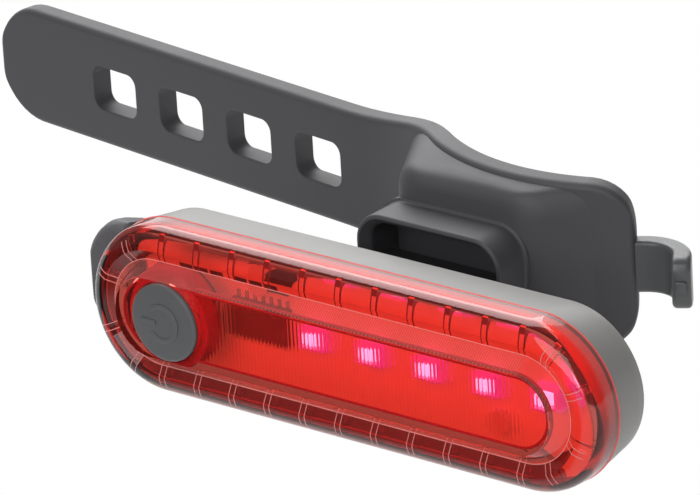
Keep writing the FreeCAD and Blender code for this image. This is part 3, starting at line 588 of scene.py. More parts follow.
def ring_tree(mat):
    """Node tree: sets copies of an object across both straight sides of the ring and round its ends.

    The object is drawn for the upper side, at the lamp's origin; copies turn about the Y axis."""
    tree = bpy.data.node_groups.new("ring_copies", "GeometryNodeTree")
    sockets = {}
    for name, kind in (("Copy", "Object"), ("Count", "Int"), ("Pitch", "Float"), ("Middle", "Vector"),
                       ("End", "Float"), ("Near spoke", "Float"), ("Far spoke", "Float"),
                       ("Upper side", "Bool"), ("Other sides", "Bool")):
        sockets[name] = tree.interface.new_socket(name, in_out="INPUT", socket_type="NodeSocket" + kind)
    tree.interface.new_socket("Geometry", in_out="OUTPUT", socket_type="NodeSocketGeometry")
    given = tree.nodes.new("NodeGroupInput").outputs
    out = tree.nodes.new("NodeGroupOutput")

    def vector(x=0.0, y=0.0, z=0.0):
        return node(tree, "ShaderNodeCombineXYZ", i0=x, i1=y, i2=z).outputs[0]

    def moved(offset):
        return node(tree, "ShaderNodeVectorMath", i0=given["Middle"], i1=offset, operation="ADD").outputs[0]

    source = node(tree, "GeometryNodeObjectInfo", Object=given["Copy"]).outputs["Geometry"]
    joined = tree.nodes.new("GeometryNodeJoinGeometry")

    def copies(points, angle, wanted):
        made = node(tree, "GeometryNodeInstanceOnPoints", Points=points, Instance=source,
                    Rotation=vector(y=angle), Selection=given[wanted])
        tree.links.new(made.outputs[0], joined.inputs[0])

    first = maths(tree, "MULTIPLY", maths(tree, "SUBTRACT", given["Count"], 1.0), -0.5)
    start = moved(vector(x=maths(tree, "MULTIPLY", first, given["Pitch"])))
    line = node(tree, "GeometryNodeMeshLine", **{"Count": given["Count"], "Start Location": start,
                                                "Offset": vector(x=given["Pitch"])}, mode="OFFSET")
    copies(line.outputs[0], 0.0, "Upper side")
    copies(line.outputs[0], math.pi, "Other sides")
    for side in (1, -1):
        spot = node(tree, "GeometryNodePoints", Count=1,
                    Position=moved(vector(x=maths(tree, "MULTIPLY", given["End"], float(side))))).outputs[0]
        for name in ("Near spoke", "Far spoke"):
            for up in (1, -1):
                lean = maths(tree, "MULTIPLY", given[name], float(-up * side))
                copies(spot, maths(tree, "ADD", lean, side * math.pi / 2), "Other sides")
    real = node(tree, "GeometryNodeRealizeInstances", Geometry=joined.outputs[0])
    finish = node(tree, "GeometryNodeSetMaterial", Geometry=real.outputs[0], Material=mat)
    tree.links.new(finish.outputs[0], out.inputs[0])
    return tree, sockets


def round_the_ring(name, copy, sizes, mat, upper=True, others=True):
    """Piece made of copies of an object round the ring; the object is removed."""
    tree, sockets = ring_tree(mat)
    piece = new_piece(name, bpy.data.meshes.new(name))
    step = piece.modifiers.new("copies", "NODES")
    step.node_group = tree
    for key, value in (("Copy", copy), ("Count", sizes.rib_count), ("Pitch", sizes.rib_pitch),
                       ("Middle", LAMP), ("End", LAMP_END), ("Near spoke", sizes.near_spoke),
                       ("Far spoke", sizes.far_spoke), ("Upper side", upper), ("Other sides", others)):
        step[sockets[key].identifier] = value
    bake(piece)
    discard(copy)
    return piece


class BIKELIGHT_OT_lens(bpy.types.Operator):
    """Builds the clear red lens with its flutes, ribs and the bore for the button"""
    bl_idname = "bikelight.lens"
    bl_label = "Lens"

    def execute(self, context):
        sizes = context.scene.bikelight_lens
        looks = context.scene.bikelight_finishes
        self.shell(sizes, looks)
        self.guide(sizes, looks)
        self.liner(sizes, looks)
        self.lines(sizes, looks)
        return {"FINISHED"}

    @staticmethod
    def finish(piece, mat, sharp=50):
        settle(piece, sharp)
        dress_piece(piece, mat, "lamp", "lens_plastic", "lens")

    def shell(self, sizes, looks):
        """The clear lens, hazy at its skirt, frosted at its rim and ticked on its bevel."""
        def skirt_haze(tree, place):
            bottom = LAMP.z - LAMP_RADIUS
            skirt = ramp(tree, axis_of(tree, place, "Y"), LAMP.y - 2.6 * MM, LAMP.y - 1.6 * MM, looks.haze)
            underside = ramp(tree, axis_of(tree, place, "Z"), bottom + 1.9 * MM, bottom + 0.9 * MM,
                             looks.haze)
            return maths(tree, "MAXIMUM", skirt, underside)

        def bevel_ticks(tree, place):
            pitch, end = 0.32 * MM, LAMP.x + LAMP_END
            ticks = node(tree, "ShaderNodeTexWave", Vector=place, Scale=math.pi / 10 / pitch,
                         Distortion=0.6)
            straight = ramp(tree, axis_of(tree, place, "X"), end + 2 * MM, end)
            return span(tree, maths(tree, "MULTIPLY", ticks.outputs["Fac"], straight), 0.10, 0.30)

        red = clear_red("lens_plastic", looks, skirt_haze)
        piece = lens_shell(sizes)
        carve(piece, round_the_ring("ribs", self.bar(sizes), sizes, red), "UNION")
        carve(piece, self.cutter(BORE_RADIUS))
        tidy_mesh(piece.data)
        settle(piece, 30, weighted=False)
        dress_piece(piece, red, "lamp", "lens_plastic", "lens")
        piece.data.materials.append(moulded("lens_frosted", looks.frosted_and_glow, 0.35, spread=0.10,
                                            grain=0.3 * MM, depth=0.002 * MM, cloud=5 * MM))
        piece.data.materials.append(clear_red("lens_bevel", looks, bevel_ticks))
        mark_faces(piece.data, sizes)

    def guide(self, sizes, looks):
        """Sleeve round the button, between the raised middle and the button's flange."""
        overlap, gap, wall, foot_wall = 0.02 * MM, 0.05 * MM, 0.9 * MM, 1.2 * MM
        top = sizes.wall - PLATEAU_HEIGHT - overlap
        foot = sizes.wall - sizes.ring_dip - gap
        guide = closed_ring("button_guide", turned_rows([
            (BORE_RADIUS, top), (BORE_RADIUS + wall, top), (BORE_RADIUS + foot_wall, foot),
            (BORE_RADIUS, foot)]))
        self.finish(guide, moulded("button_guide", looks.guide, 0.3, spread=0.25, grain=0.3 * MM,
                                   cloud=2 * MM), 30)

    def liner(self, sizes, looks):
        """Inner wall of the lens, reaching back into the housing's mouth: dark towards the bottom and the
        left end, and towards the top and the right a painted glow that stands in for LED light scattered in
        the wall.
        """
        gap = 0.05 * MM
        side, front, rim = LAMP_RADIUS - sizes.wall, sizes.wall - sizes.ring_dip, 0.80 * MM
        liner = stadium_ring("lens_liner", [
            (side - gap, front + gap), (side - gap, rim), (side - 0.75 * MM, rim),
            (side - 0.55 * MM, front + 0.6 * MM)])
        left = LAMP.x - LAMP_END
        # Painted glow: towards the top and the right the lining emits the frosted red, standing in for LED
        # light scattered in the wall; towards the bottom and the left end it stays dark.
        self.finish(liner, two_toned("lens_lining_painted_glow", (("Z", LAMP.z - 6 * MM, LAMP.z + 7 * MM),
                                                     ("X", left - 4 * MM, left + 4 * MM)),
                                     looks.lining, looks.frosted_and_glow, 0.8), 30)

    def lines(self, sizes, looks):
        """Fine lines along the ribs, the raised middle and the weld; the rib lines carry painted highlights
        below and painted shade above.
        """
        def line_plastic(name, tint, spread=0.15):
            return moulded(name, tint, 0.3, spread=spread, grain=0.3 * MM, depth=0.001 * MM)

        # Painted shade: dark fine edges on the upper ribs, standing in for the dark that they reflect.
        painted_shade_plastic = line_plastic("lens_rib_edges", looks.painted_shade_edges)
        edges = round_the_ring("lens_rib_edges", self.beads(sizes), sizes, painted_shade_plastic, others=False)
        self.finish(edges, painted_shade_plastic)
        inner_rim = lens_profiles(sizes)[1][1]
        crease = stadium_ring("lens_crease", bead_section(*inner_rim, 0.17 * MM))
        carve(crease, self.cutter(FLANGE_RADIUS + 0.2 * MM))
        self.finish(crease, line_plastic("lens_crease", looks.crease))
        # Painted highlights: pale lines over the lower and end ribs and round the raised middle's foot.
        pale = line_plastic("lens_lines", looks.edges)
        lines = round_the_ring("lens_lines", self.scores(sizes), sizes, pale, upper=False)
        foot_line = bead_section(sizes.plateau_base + 0.02 * MM, -sizes.ring_dip, sizes.bead)
        self.finish(join(lines, [stadium_ring("foot", foot_line)]), pale)
        seam = stadium_ring("lens_seam", bead_section(LAMP_RADIUS - 0.04 * MM, -0.10 * MM, 0.13 * MM))
        self.finish(seam, line_plastic("lens_seam", looks.seam, 0.1))

    @staticmethod
    def cutter(radius):
        """Cylinder round the button's axis, right through the lens."""
        return closed_tube("cutter", turned_rows([(radius, -PLATEAU_HEIGHT - 3 * MM), (radius, 2 * MM)]))

    @staticmethod
    def bar(sizes):
        """Inner rib of the upper side, at the lamp's origin, its back and ends sunk into the lens."""
        half = sizes.rib_width / 2
        inside = sizes.wall - sizes.ring_dip
        back, crest = inside - 0.15 * MM, inside + sizes.rib_height
        return closed_tube("rib", [
            [Vector((x, y, z)) for x, y in ((-half, back), (half, back), (half, crest), (-half, crest))]
            for z in (sizes.plateau_base - 0.6 * MM, LAMP_RADIUS - sizes.wall + 0.2 * MM)])

    @staticmethod
    def beads(sizes):
        """Fine edges of one inner rib of the upper side and the blunt end it has at the wall."""
        rim = LAMP_RADIUS - sizes.wall
        crest = sizes.wall - sizes.ring_dip + sizes.rib_height
        half = sizes.rib_width / 2
        beads = []
        for side in (-half, half):
            beads.append(closed_tube("bead", [
                [Vector((side + u * sizes.bead, crest + v * sizes.bead, z))
                 for u, v in ((-1, -1.2), (1, -1.2), (0.6, 0.8), (-0.6, 0.8))]
                for z in (sizes.plateau_base - 0.5 * MM, rim - 0.02 * MM)]))
        half += sizes.bead
        low, high = crest - 0.1 * MM, crest + 0.25 * MM
        beads.append(closed_tube("cap", [
            [Vector((x * wide, y, z)) for x, y in ((-half, low), (half, low), (half, high), (-half, high))]
            for z, wide in ((rim - 0.80 * MM, 0.7), (rim - 0.70 * MM, 1.0), (rim - 0.30 * MM, 1.0))]))
        return join(beads[0], beads[1:])

    @staticmethod
    def scores(sizes):
        """Pair of fine lines across the outside of the ring's upper side, over a rib."""
        edge = sizes.edge_radius
        turn_in = LAMP_RADIUS - edge
        line = [(sizes.plateau_base, -sizes.ring_dip), (turn_in, -sizes.skirt - edge)]
        line += arc_points((turn_in, -sizes.skirt), edge, -90, -58, 4)
        scores = []
        for side in (-sizes.rib_width / 2, sizes.rib_width / 2):
            rows = []
            for z, y in line:
                out = Vector((0, -1, 0))
                if z > turn_in:
                    out = Vector((0, y + sizes.skirt, z - turn_in)).normalized()
                rows.append([Vector((side + u * sizes.bead, y, z)) + out * v * sizes.bead
                             for u, v in ((-1, -1.0), (-0.5, 0.6), (0.5, 0.6), (1, -1.0))])
            scores.append(closed_tube("score", rows))
        return join(scores[0], scores[1:])


def bead_section(r, y, size):
    """Small section (r, y) round a point."""
    return [(r + size * math.cos(math.radians(a)), y + size * math.sin(math.radians(a)))
            for a in range(0, 360, 60)]


def stadium_ring(name, profile, steps=48):
    """Closed ring of a section (r, y) run round the lamp's oblong outline."""
    places = [(LAMP_END, math.pi / 2 - math.pi * i / steps) for i in range(steps + 1)]
    places += [(-LAMP_END, -math.pi / 2 - math.pi * i / steps) for i in range(steps + 1)]
    return closed_ring(name, [[LAMP + Vector((x + r * math.cos(a), y, r * math.sin(a))) for x, a in places]
                              for r, y in profile])


def turned_rows(profile, steps=96):
    """Circles round the button's axis for a profile (r, y)."""
    angles = [2 * math.pi * i / steps for i in range(steps)]
    return [[BUTTON_AXIS + Vector((r * math.cos(a), y, r * math.sin(a))) for a in angles]
            for r, y in profile]


# Power button

class BIKELIGHT_OT_button(bpy.types.Operator):
    """Builds the soft power button with its raised pictogram"""
    bl_idname = "bikelight.button"
    bl_label = "Power button"

    def execute(self, context):
        lens = context.scene.bikelight_lens
        looks = context.scene.bikelight_finishes
        face, back = BUTTON_LOW.y - LAMP.y, BUTTON_HIGH.y - LAMP.y
        rim = face + 0.15 * MM
        inside = rim + 1.3 * MM
        edge, stem = 0.5 * MM, 1.6 * MM
        bore = CAP_RADIUS - 1.0 * MM
        flange_front = lens.wall - lens.ring_dip
        flange_back = flange_front + 0.7 * MM
        dome = ((1.2 * MM, 0.008 * MM), (2.4 * MM, 0.035 * MM), (3.4 * MM, 0.075 * MM))
        profile = [(HAIR, face)] + [(r, face + drop) for r, drop in dome] + [(CAP_RADIUS - edge, rim)]
        profile += arc_points((CAP_RADIUS - edge, rim + edge), edge, -90, 0, 6)
        profile += [(CAP_RADIUS, flange_front), (FLANGE_RADIUS, flange_front),
                    (FLANGE_RADIUS, flange_back), (bore, flange_back), (bore, inside), (stem, inside),
                    (stem, back), (HAIR, back)]
        piece = closed_tube("power_button_cap", turned_rows(profile))
        join(piece, self.pictogram(BUTTON_AXIS + Vector((0, face + 0.05 * MM, 0))))
        settle(piece, 40)
        mat = moulded("button_rubber", looks.button, 0.5, spread=0.08, grain=0.3 * MM)
        dress_piece(piece, mat, "button", "button_rubber", "power_button")
        return {"FINISHED"}

    @staticmethod
    def pictogram(middle, steps=40):
        """Raised open ring and bar, a generic power sign."""
        radius, width, lift = 2.15 * MM, 0.30 * MM, 0.17 * MM
        opening = math.radians(42)

        def across(place, way):
            return [place + way * u * width - Vector((0, v * lift, 0))
                    for u, v in ((-1, -1.5), (-1, 0.6), (-0.6, 1), (0.6, 1), (1, 0.6), (1, -1.5))]

        ring = []
        for i in range(steps + 1):
            a = math.pi + opening + (2 * math.pi - 2 * opening) * i / steps
            out = Vector((math.cos(a), 0, math.sin(a)))
            ring.append(across(middle + out * radius, out))
        bar = [across(middle + Vector((x, 0, 0)), Vector((0, 0, 1))) for x in (-3.1 * MM, -0.9 * MM)]
        return [closed_tube("ring", ring), closed_tube("bar", bar)]


# Bracket

class BracketPath:
    """Plan of the saddle's and the strap's back face, by the run from the saddle's right end."""

    def __init__(self, sizes):
        self.sizes = sizes
        self.seat = Vector((0, sizes.seat_radius, 0))
        self.right = -math.pi / 2 + sizes.seat_right
        self.left = -math.pi / 2 - sizes.seat_left
        self.swing = sizes.seat_left - sizes.strap_turn
        self.sweep = self.seat + self.direction(self.left) * (sizes.seat_radius + sizes.sweep_radius)
        self.seat_run = sizes.seat_radius * (self.right - self.left)
        self.root = self.seat_run + sizes.sweep_radius * self.swing
        self.holes = [self.root + sizes.first_hole + i * sizes.hole_pitch for i in range(4)]
        self.end = self.holes[-1] + sizes.tip_run

    @staticmethod
    def direction(angle):
        return Vector((math.cos(angle), math.sin(angle), 0))

    def at(self, run):
        """Point on the back face and the way to the front face."""
        sizes = self.sizes
        if run <= self.seat_run:
            out = self.direction(self.right - run / sizes.seat_radius)
            return self.seat + out * sizes.seat_radius, out
        turned = min((run - self.seat_run) / sizes.sweep_radius, self.swing)
        out = self.direction(self.left + math.pi + turned)
        point = self.sweep + out * sizes.sweep_radius
        straight = max(run - self.root, 0.0)
        along = Vector((-out.y, out.x, 0))
        return point + along * straight, -out

    def half_height(self, run):
        """Half height at a run: full on the seat, drawn in to the strap, rounded at both ends."""
        sizes = self.sizes
        place = self.at(run)[0]
        share = min(max((-sizes.shoulder_start - place.x) / sizes.shoulder_run, 0.0), 1.0)
        t = bisected(0.0, 1.0, 24, lambda t: 1.5 * t * (1 - t) + t ** 3 < share)
        eased = t * t * (3 - 2 * t)
        half = sizes.saddle_half + (sizes.strap_half - sizes.saddle_half) * eased
        half -= corner_loss(run, sizes.corner)
        half -= corner_loss(self.end - run, sizes.tip_corner)
        return half


def corner_loss(distance, radius):
    """How much a rounded corner takes off at a distance from the end."""
    if distance >= radius:
        return 0.0
    return radius - math.sqrt(max(radius ** 2 - (radius - distance) ** 2, 0.0))


def band_rows(path, runs, thickness, edge, half_height, start=None, end=None):
    """Loops round a band at each run; the edges are rounded, and so are the ends that are given."""
    rows = []
    for run in sorted({round(run, 7) for run in runs}):
        point, out = path(run)
        loss = 0.0
        if start is not None:
            loss = corner_loss(run - start, edge)
        if end is not None:
            loss = max(loss, corner_loss(end - run, edge))
        half_t = max(thickness / 2 - loss, 0.05 * MM)
        half_z = max(half_height(run) - loss, 0.1 * MM)
        rows.append([point + out * (thickness / 2 + a) + Vector((0, 0, b))
                     for a, b in rounded_loop(half_t, half_z, edge, 5)])
    return rows


def steps_between(first, last, step):
    count = max(1, math.ceil((last - first) / step))
    return [first + (last - first) * i / count for i in range(count + 1)]


def eased_end(start, radius, count=8, backwards=False):
    """Runs crowded towards a rounded end."""
    runs = [radius * (1 - math.cos(math.pi / 2 * i / count)) for i in range(count)]
    return [start - r for r in reversed(runs)] if backwards else [start + r for r in runs]


def hole_cutter(name, path, run, sizes):
    """Cutter for one hole, flared at both mouths so that the edges come out rounded."""
    point, out = path.at(run)
    along = Vector((-out.y, out.x, 0))
    flare = 0.2 * MM
    mouth = [(-1.0 * MM, flare * 2.2)] + flared(flare)
    rows = []
    for depth, grow in mouth + [(sizes.thickness - d, f) for d, f in reversed(mouth)]:
        loop = rounded_loop(sizes.hole_width / 2 + grow, sizes.hole_height / 2 + grow,
                            sizes.hole_corner + grow, 6)
        rows.append([point + out * depth + along * a + Vector((0, 0, b)) for a, b in loop])
    return closed_tube(name, rows)


class BIKELIGHT_OT_strap(bpy.types.Operator):
    """Builds the rubber skins of the saddle's band and the holed strap"""
    bl_idname = "bikelight.strap"
    bl_label = "Saddle band and strap"

    def execute(self, context):
        sizes = context.scene.bikelight_bracket
        looks = context.scene.bikelight_finishes
        path = BracketPath(sizes)
        rubber = bracket_rubber(looks)
        bodies = ["mount", "link_1", "link_2", "link_3", "tip"]
        nodes = ["saddle", "strap_link_1", "strap_link_2", "strap_link_3", "strap_tip"]
        edges = [0.0] + path.holes + [path.end]
        nearest, spacing = 0.4 * MM, 0.7 * MM
        for i, (first, last) in enumerate(zip(edges, edges[1:])):
            is_last = i == len(path.holes)
            runs = []
            if i == 0:
                runs += (eased_end(first, sizes.edge_round)
                         + eased_end(first + sizes.edge_round, sizes.corner))
                first = runs[-1] + nearest
            if is_last:
                runs += (eased_end(last - sizes.edge_round, sizes.tip_corner, 10, True)
                         + eased_end(last, sizes.edge_round, 8, True))
                last = runs[0] - nearest
            runs += steps_between(first, last, spacing)
            rows = band_rows(path.at, runs, sizes.thickness, sizes.edge_round, path.half_height,
                             start=None if i else 0.0, end=path.end if is_last else None)
            piece = closed_tube("strap_skin_%d" % i if i else "saddle_skin", rows)
            for hole in path.holes[max(i - 1, 0):i + 1]:
                carve(piece, hole_cutter("hole", path, hole, sizes))
            tidy_mesh(piece.data)
            settle(piece, 38)
            piece.data.materials.clear()
            piece.data.materials.append(rubber)
            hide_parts(nodes[i])
            if is_last:
                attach(piece, bodies[i])
            else:
                flex = path.holes[i] - sizes.hole_pitch / 2
                reach = sizes.hole_pitch / 2 - 0.3 * MM
                tuple(path.at(flex - reach)[0])
                tuple(path.at(flex + reach)[0])
                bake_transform(piece)
        return {"FINISHED"}


def bracket_rubber(looks):
    return moulded("bracket_rubber", looks.rubber, 0.56, spread=0.07, rough_spread=0.05,
                   grain=0.22 * MM, depth=0.003 * MM, cloud=11 * MM)


class BIKELIGHT_OT_socket(bpy.types.Operator):
    """Builds the boss on the saddle's front and the socket that takes the lamp's clip"""
    bl_idname = "bikelight.socket"
    bl_label = "Boss and socket"

    def execute(self, context):
        sizes = context.scene.bikelight_bracket
        looks = context.scene.bikelight_finishes
        path = BracketPath(sizes)
        middle = Vector((LAMP.x, 0, 0))
        front, floor = -10.75 * MM, -4.6 * MM
        face = front + 5.0 * MM
        hollow = (18.3 * MM / 2, 6.8 * MM / 2, 2.3 * MM)
        wall, entry, lip, flare, spare = 1.5 * MM, 1.25 * MM, 0.35 * MM, 0.4 * MM, 0.4 * MM

        def outline(grow, y, steps=8):
            """The hollow's outline at a depth, grown on every side."""
            return upright(middle, y, rounded_loop(*(side + grow for side in hollow), steps))

        piece = self.boss(path, sizes, face)
        carve(piece, closed_tube("hollow", [outline(spare, y, 6) for y in (front, floor + spare)]))
        tidy_mesh(piece.data)
        profile = [(0.0, floor), (0.0, front + entry * 1.2), (0.06 * MM, front + entry),
                   (0.25 * MM, front + entry * 0.75), (wall - lip - 0.15 * MM, front)]
        profile += [(wall - b, front + a) for a, b in flared(lip, 5)]
        profile += [(wall + a, face - b) for a, b in flared(flare)]
        rows = [outline(grow, y) for grow, y in profile]
        rows.append([Vector((p.x, band_front(path, sizes, p.x) + 1.0 * MM, p.z)) for p in rows[-1]])
        join(piece, [closed_tube("tube", rows)])
        settle(piece, 38)
        dress_piece(piece, bracket_rubber(looks), "mount", "bracket_rubber", "saddle")
        return {"FINISHED"}

    @staticmethod
    def boss(path, sizes, face):
        """Loft from the boss's front outline back into the band."""
        left, right, high = -15.2 * MM, 4.2 * MM, 9.0 * MM
        base_left, base_right, base_high = -21.8 * MM, 12.4 * MM, 9.9 * MM
        corner_round, round_off, sunk = 3.0 * MM, 2.4 * MM, 0.7 * MM
        drawn_in = round_off * 0.8
        centre, half = (left + right) / 2, (right - left) / 2
        base_centre, base_half = (base_left + base_right) / 2, (base_right - base_left) / 2
        outline = evened([(a + centre, b) for a, b in rounded_loop(half, high, corner_round, 10)], 128)
        rows = []
        for t in [i / 6 for i in range(7)] + [1 + i / 10 for i in range(1, 11)]:
            row = []
            for a, b in outline:
                sx, sz = (a - centre) / half, b / high
                base_x = base_centre + sx * base_half
                corner = Vector((a, face, b))
                base = Vector((base_x, band_front(path, sizes, base_x) + sunk, sz * base_high))
                inset = Vector((a - drawn_in * sx, face, b - drawn_in * sz))
                on_flank = corner + (base - corner) * min(round_off / (base - corner).length, 0.5)
                if t <= 1:
                    row.append(inset * (1 - t) ** 2 + corner * 2 * t * (1 - t) + on_flank * t * t)
                else:
                    row.append(on_flank + (base - on_flank) * (t - 1))
            rows.append(row)
        return closed_tube("saddle_boss", rows)


def evened(loop, count):
    """The loop's outline again with its points evenly spread."""
    closed = loop + loop[:1]
    spans = [math.dist(p, q) for p, q in zip(closed, closed[1:])]
    total = sum(spans)
    result = []
    at, index = 0.0, 0
    for i in range(count):
        wanted = total * i / count
        while at + spans[index] < wanted:
            at += spans[index]
            index += 1
        share = (wanted - at) / spans[index] if spans[index] else 0.0
        p, q = closed[index], closed[index + 1]
        result.append((p[0] + (q[0] - p[0]) * share, p[1] + (q[1] - p[1]) * share))
    return result


def band_front(path, sizes, x):
    """Depth of the band's front face at an x, found along its run."""
    def front(run):
        point, out = path.at(run)
        return point + out * sizes.thickness

    return front(bisected(0.0, path.root + 10 * MM, 30, lambda run: front(run).x > x)).y


class BIKELIGHT_OT_hook(bpy.types.Operator):
    """Builds the glossy hook at the saddle's right end"""
    bl_idname = "bikelight.hook"
    bl_label = "Strap hook"

    def execute(self, context):
        sizes = context.scene.bikelight_bracket
        looks = context.scene.bikelight_finishes
        direction = BracketPath.direction
        thickness, half, edge, corner, rim = 2.3 * MM, 3.25 * MM, 0.55 * MM, 1.7 * MM, 0.6 * MM
        tail, lead, bend, leg = 3.0 * MM, 1.0 * MM, 4.6 * MM, 2.4 * MM
        middle = sizes.seat_radius + sizes.thickness / 2
        right = -math.pi / 2 + sizes.seat_right
        seat = Vector((0, sizes.seat_radius, 0))
        heading = right + math.pi / 2
        ahead, aside = direction(heading), direction(heading - math.pi / 2)
        exit_point = seat + direction(right) * middle
        bend_centre = exit_point + ahead * lead + aside * bend
        quarter = bend * math.pi / 2
        end = lead + quarter + leg

        def path(run):
            if run < 0:
                out = direction(right + run / middle)
                return seat + out * (middle - thickness / 2), out
            if run < lead:
                return exit_point + ahead * run - aside * thickness / 2, aside
            if run < lead + quarter:
                inward = -direction(heading + math.pi / 2 - (run - lead) / bend)
                return bend_centre - inward * (bend + thickness / 2), inward
            return bend_centre + ahead * (bend + thickness / 2) + aside * (run - lead - quarter), -ahead

        runs = steps_between(-tail, end - leg, 0.35 * MM)
        runs += eased_end(end - rim, corner, 8, True) + eased_end(end, rim, 6, True)
        rows = band_rows(path, runs, thickness, edge,
                         lambda run: half - corner_loss(end - run, corner), end=end)
        piece = closed_tube("strap_hook_body", rows)
        point, out = path(end)
        nib_rows = []
        for depth, size in ((-0.3 * MM, 0.66 * MM), (0.32 * MM, 0.66 * MM), (0.45 * MM, 0.52 * MM)):
            nib_rows.append([point + out * (thickness / 2 + a) + aside * depth + Vector((0, 0, b))
                             for a, b in rounded_loop(size, size, 0.2 * MM, 3)])
        join(piece, [closed_tube("nib", nib_rows)])
        settle(piece, 40)
        mat = moulded("hook_plastic", looks.hook, 0.33, spread=0.05, grain=0.4 * MM, depth=0.002 * MM)
        dress_piece(piece, mat, "mount", "hook_plastic", "strap_hook")
        return {"FINISHED"}


# Lamp shell, cover and insides

class BIKELIGHT_OT_shell(bpy.types.Operator):
    """Finishes the grey housing, the port cover and its anchor"""
    bl_idname = "bikelight.shell"
    bl_label = "Housing and port cover"

    def execute(self, context):
        looks = context.scene.bikelight_finishes
        grey = moulded("housing_plastic", looks.shell_grey, 0.45, spread=0.03, grain=0.35 * MM,
                       depth=0.003 * MM)
        black = moulded("cover_rubber", looks.cover, 0.55, spread=0.07)
        dress_piece(copy_of_node("housing_shell", "housing"), grey, "lamp", "housing_plastic", "housing")
        dress_piece(self.cover(), black, "cover", "cover_rubber", "port_cover")
        dress_piece(copy_of_node("port_cover_anchor", "cover_anchor"), black, "lamp", "cover_rubber",
                    "cover_anchor")
        return {"FINISHED"}

    @staticmethod
    def cover():
        """The cover's inside with a rounder, tapering outside."""
        piece = copy_of_node("port_cover_cap", "port_cover")
        low, high = corners("port_cover")
        half_height = (high.z - low.z) / 2
        reach, spare, corner = 12 * MM, 0.05 * MM, 6.2 * MM
        middle = Vector((low.x + reach - spare, 0, LAMP.z))
        rows = []
        for share, inset in ((-0.02, 1.6), (0.0, 1.1), (0.04, 0.65), (0.10, 0.32), (0.18, 0.12),
                             (0.28, 0.0), (0.45, 0.25), (0.70, 0.95), (0.84, 1.6), (0.92, 2.1),
                             (0.97, 2.6), (1.0, 3.2), (1.02, 3.5)):
            shrink = inset * MM
            rows.append(upright(middle, low.y + (high.y - low.y) * share,
                                rounded_loop(reach - shrink, half_height - shrink + spare,
                                             corner - shrink / 2, 12)))
        carve(piece, closed_tube("outside", rows), "INTERSECT")
        tidy_mesh(piece.data)
        return settle(piece, 40)


class BIKELIGHT_OT_insides(bpy.types.Operator):
    """Finishes the board, its parts, the cell, the clip and the screws"""
    bl_idname = "bikelight.insides"
    bl_label = "Board, cell and clip"

    def execute(self, context):
        looks = context.scene.bikelight_finishes
        low, high = corners("control_chip")
        pins, fade = 0.75 * MM, 0.05 * MM
        # Painted light: a faint red emission on the board and its screws stands in for the LEDs' light
        # falling on them.
        painted_led_glow = (1.0, 0.35, 0.25, 1.0)
        package = glowing("led_package", looks.halo, looks.halo_strength)
        epoxy = moulded("chip_epoxy", (0.10, 0.05, 0.05), 0.5, spread=0.15)
        ceramic = moulded("component_ceramic", (0.05, 0.035, 0.03), 0.45, spread=0.2)
        finishes = {
            "circuit_board": moulded("board_laminate", (0.74, 0.72, 0.69), 0.35, spread=0.03,
                                     grain=0.5 * MM, Emission_Color=painted_led_glow, Emission_Strength=0.20),
            "control_chip": two_toned("control_chip", (("Z", low.z + pins, low.z + pins + fade),
                                                       ("Z", high.z - pins, high.z - pins - fade)),
                                      (0.42, 0.37, 0.34), (0.19, 0.055, 0.06), 0.0),
            "switch_plunger": epoxy, "port_tongue": epoxy,
            "board_resistors": ceramic, "board_capacitor": ceramic,
            "switch_body": moulded("switch_metal", (0.60, 0.60, 0.58), 0.35, spread=0.04, Metallic=1.0),
            "port_shell": moulded("port_metal", (0.66, 0.66, 0.67), 0.28, spread=0.03, Metallic=1.0),
            # Painted light: the screws' pinkish tone and faint glow stand in for the LEDs' red light on
            # them.
            "board_screws": moulded("board_screw_steel", (0.66, 0.58, 0.56), 0.5, spread=0.05,
                                    Metallic=0.15, Emission_Color=painted_led_glow, Emission_Strength=0.15),
            "clip_screws": moulded("screw_steel", (0.55, 0.55, 0.56), 0.32, spread=0.05, Metallic=1.0),
            "battery_cell": moulded("cell_foil", (0.62, 0.63, 0.66), 0.38, spread=0.04, cloud=4 * MM,
                                    Metallic=1.0),
            "battery_tape": moulded("tape_foam", (0.72, 0.72, 0.70), 0.9, spread=0.05, depth=0.02 * MM),
            "battery_lead_red": moulded("lead_red_sleeve", (0.50, 0.02, 0.02), 0.4),
            "battery_lead_black": moulded("lead_black_sleeve", (0.02, 0.02, 0.02), 0.4),
            "lens_seal": moulded("seal_silicone", (0.62, 0.05, 0.04), 0.5),
            "rear_clip": moulded("clip_plastic", (0.022, 0.022, 0.024), 0.48, grain=0.3 * MM),
        }
        finishes.update({name: package for name in LED_NODES})
        for name, mat in finishes.items():
            dress(name, mat)
        self.glow(looks)
        return {"FINISHED"}

    @staticmethod
    def glow(looks):
        """Lit windows of the LEDs, one on each package."""
        windows = []
        for name in LED_NODES:
            low, high = corners(name)
            windows.append(closed_tube("window", [
                upright((low + high) / 2, low.y + y, rounded_loop(r, r * 0.85, r * 0.5, 5))
                for y, r in ((0.36 * MM, 0.9 * MM), (0.20 * MM, 0.9 * MM), (0.14 * MM, 0.55 * MM))]))
        piece = windows[0]
        piece.name = "led_windows"
        join(piece, windows[1:])
        settle(piece, 30)
        dress_piece(piece, glowing("led_glow", looks.glow, looks.glow_strength), "lamp", "led_package")


# Stage

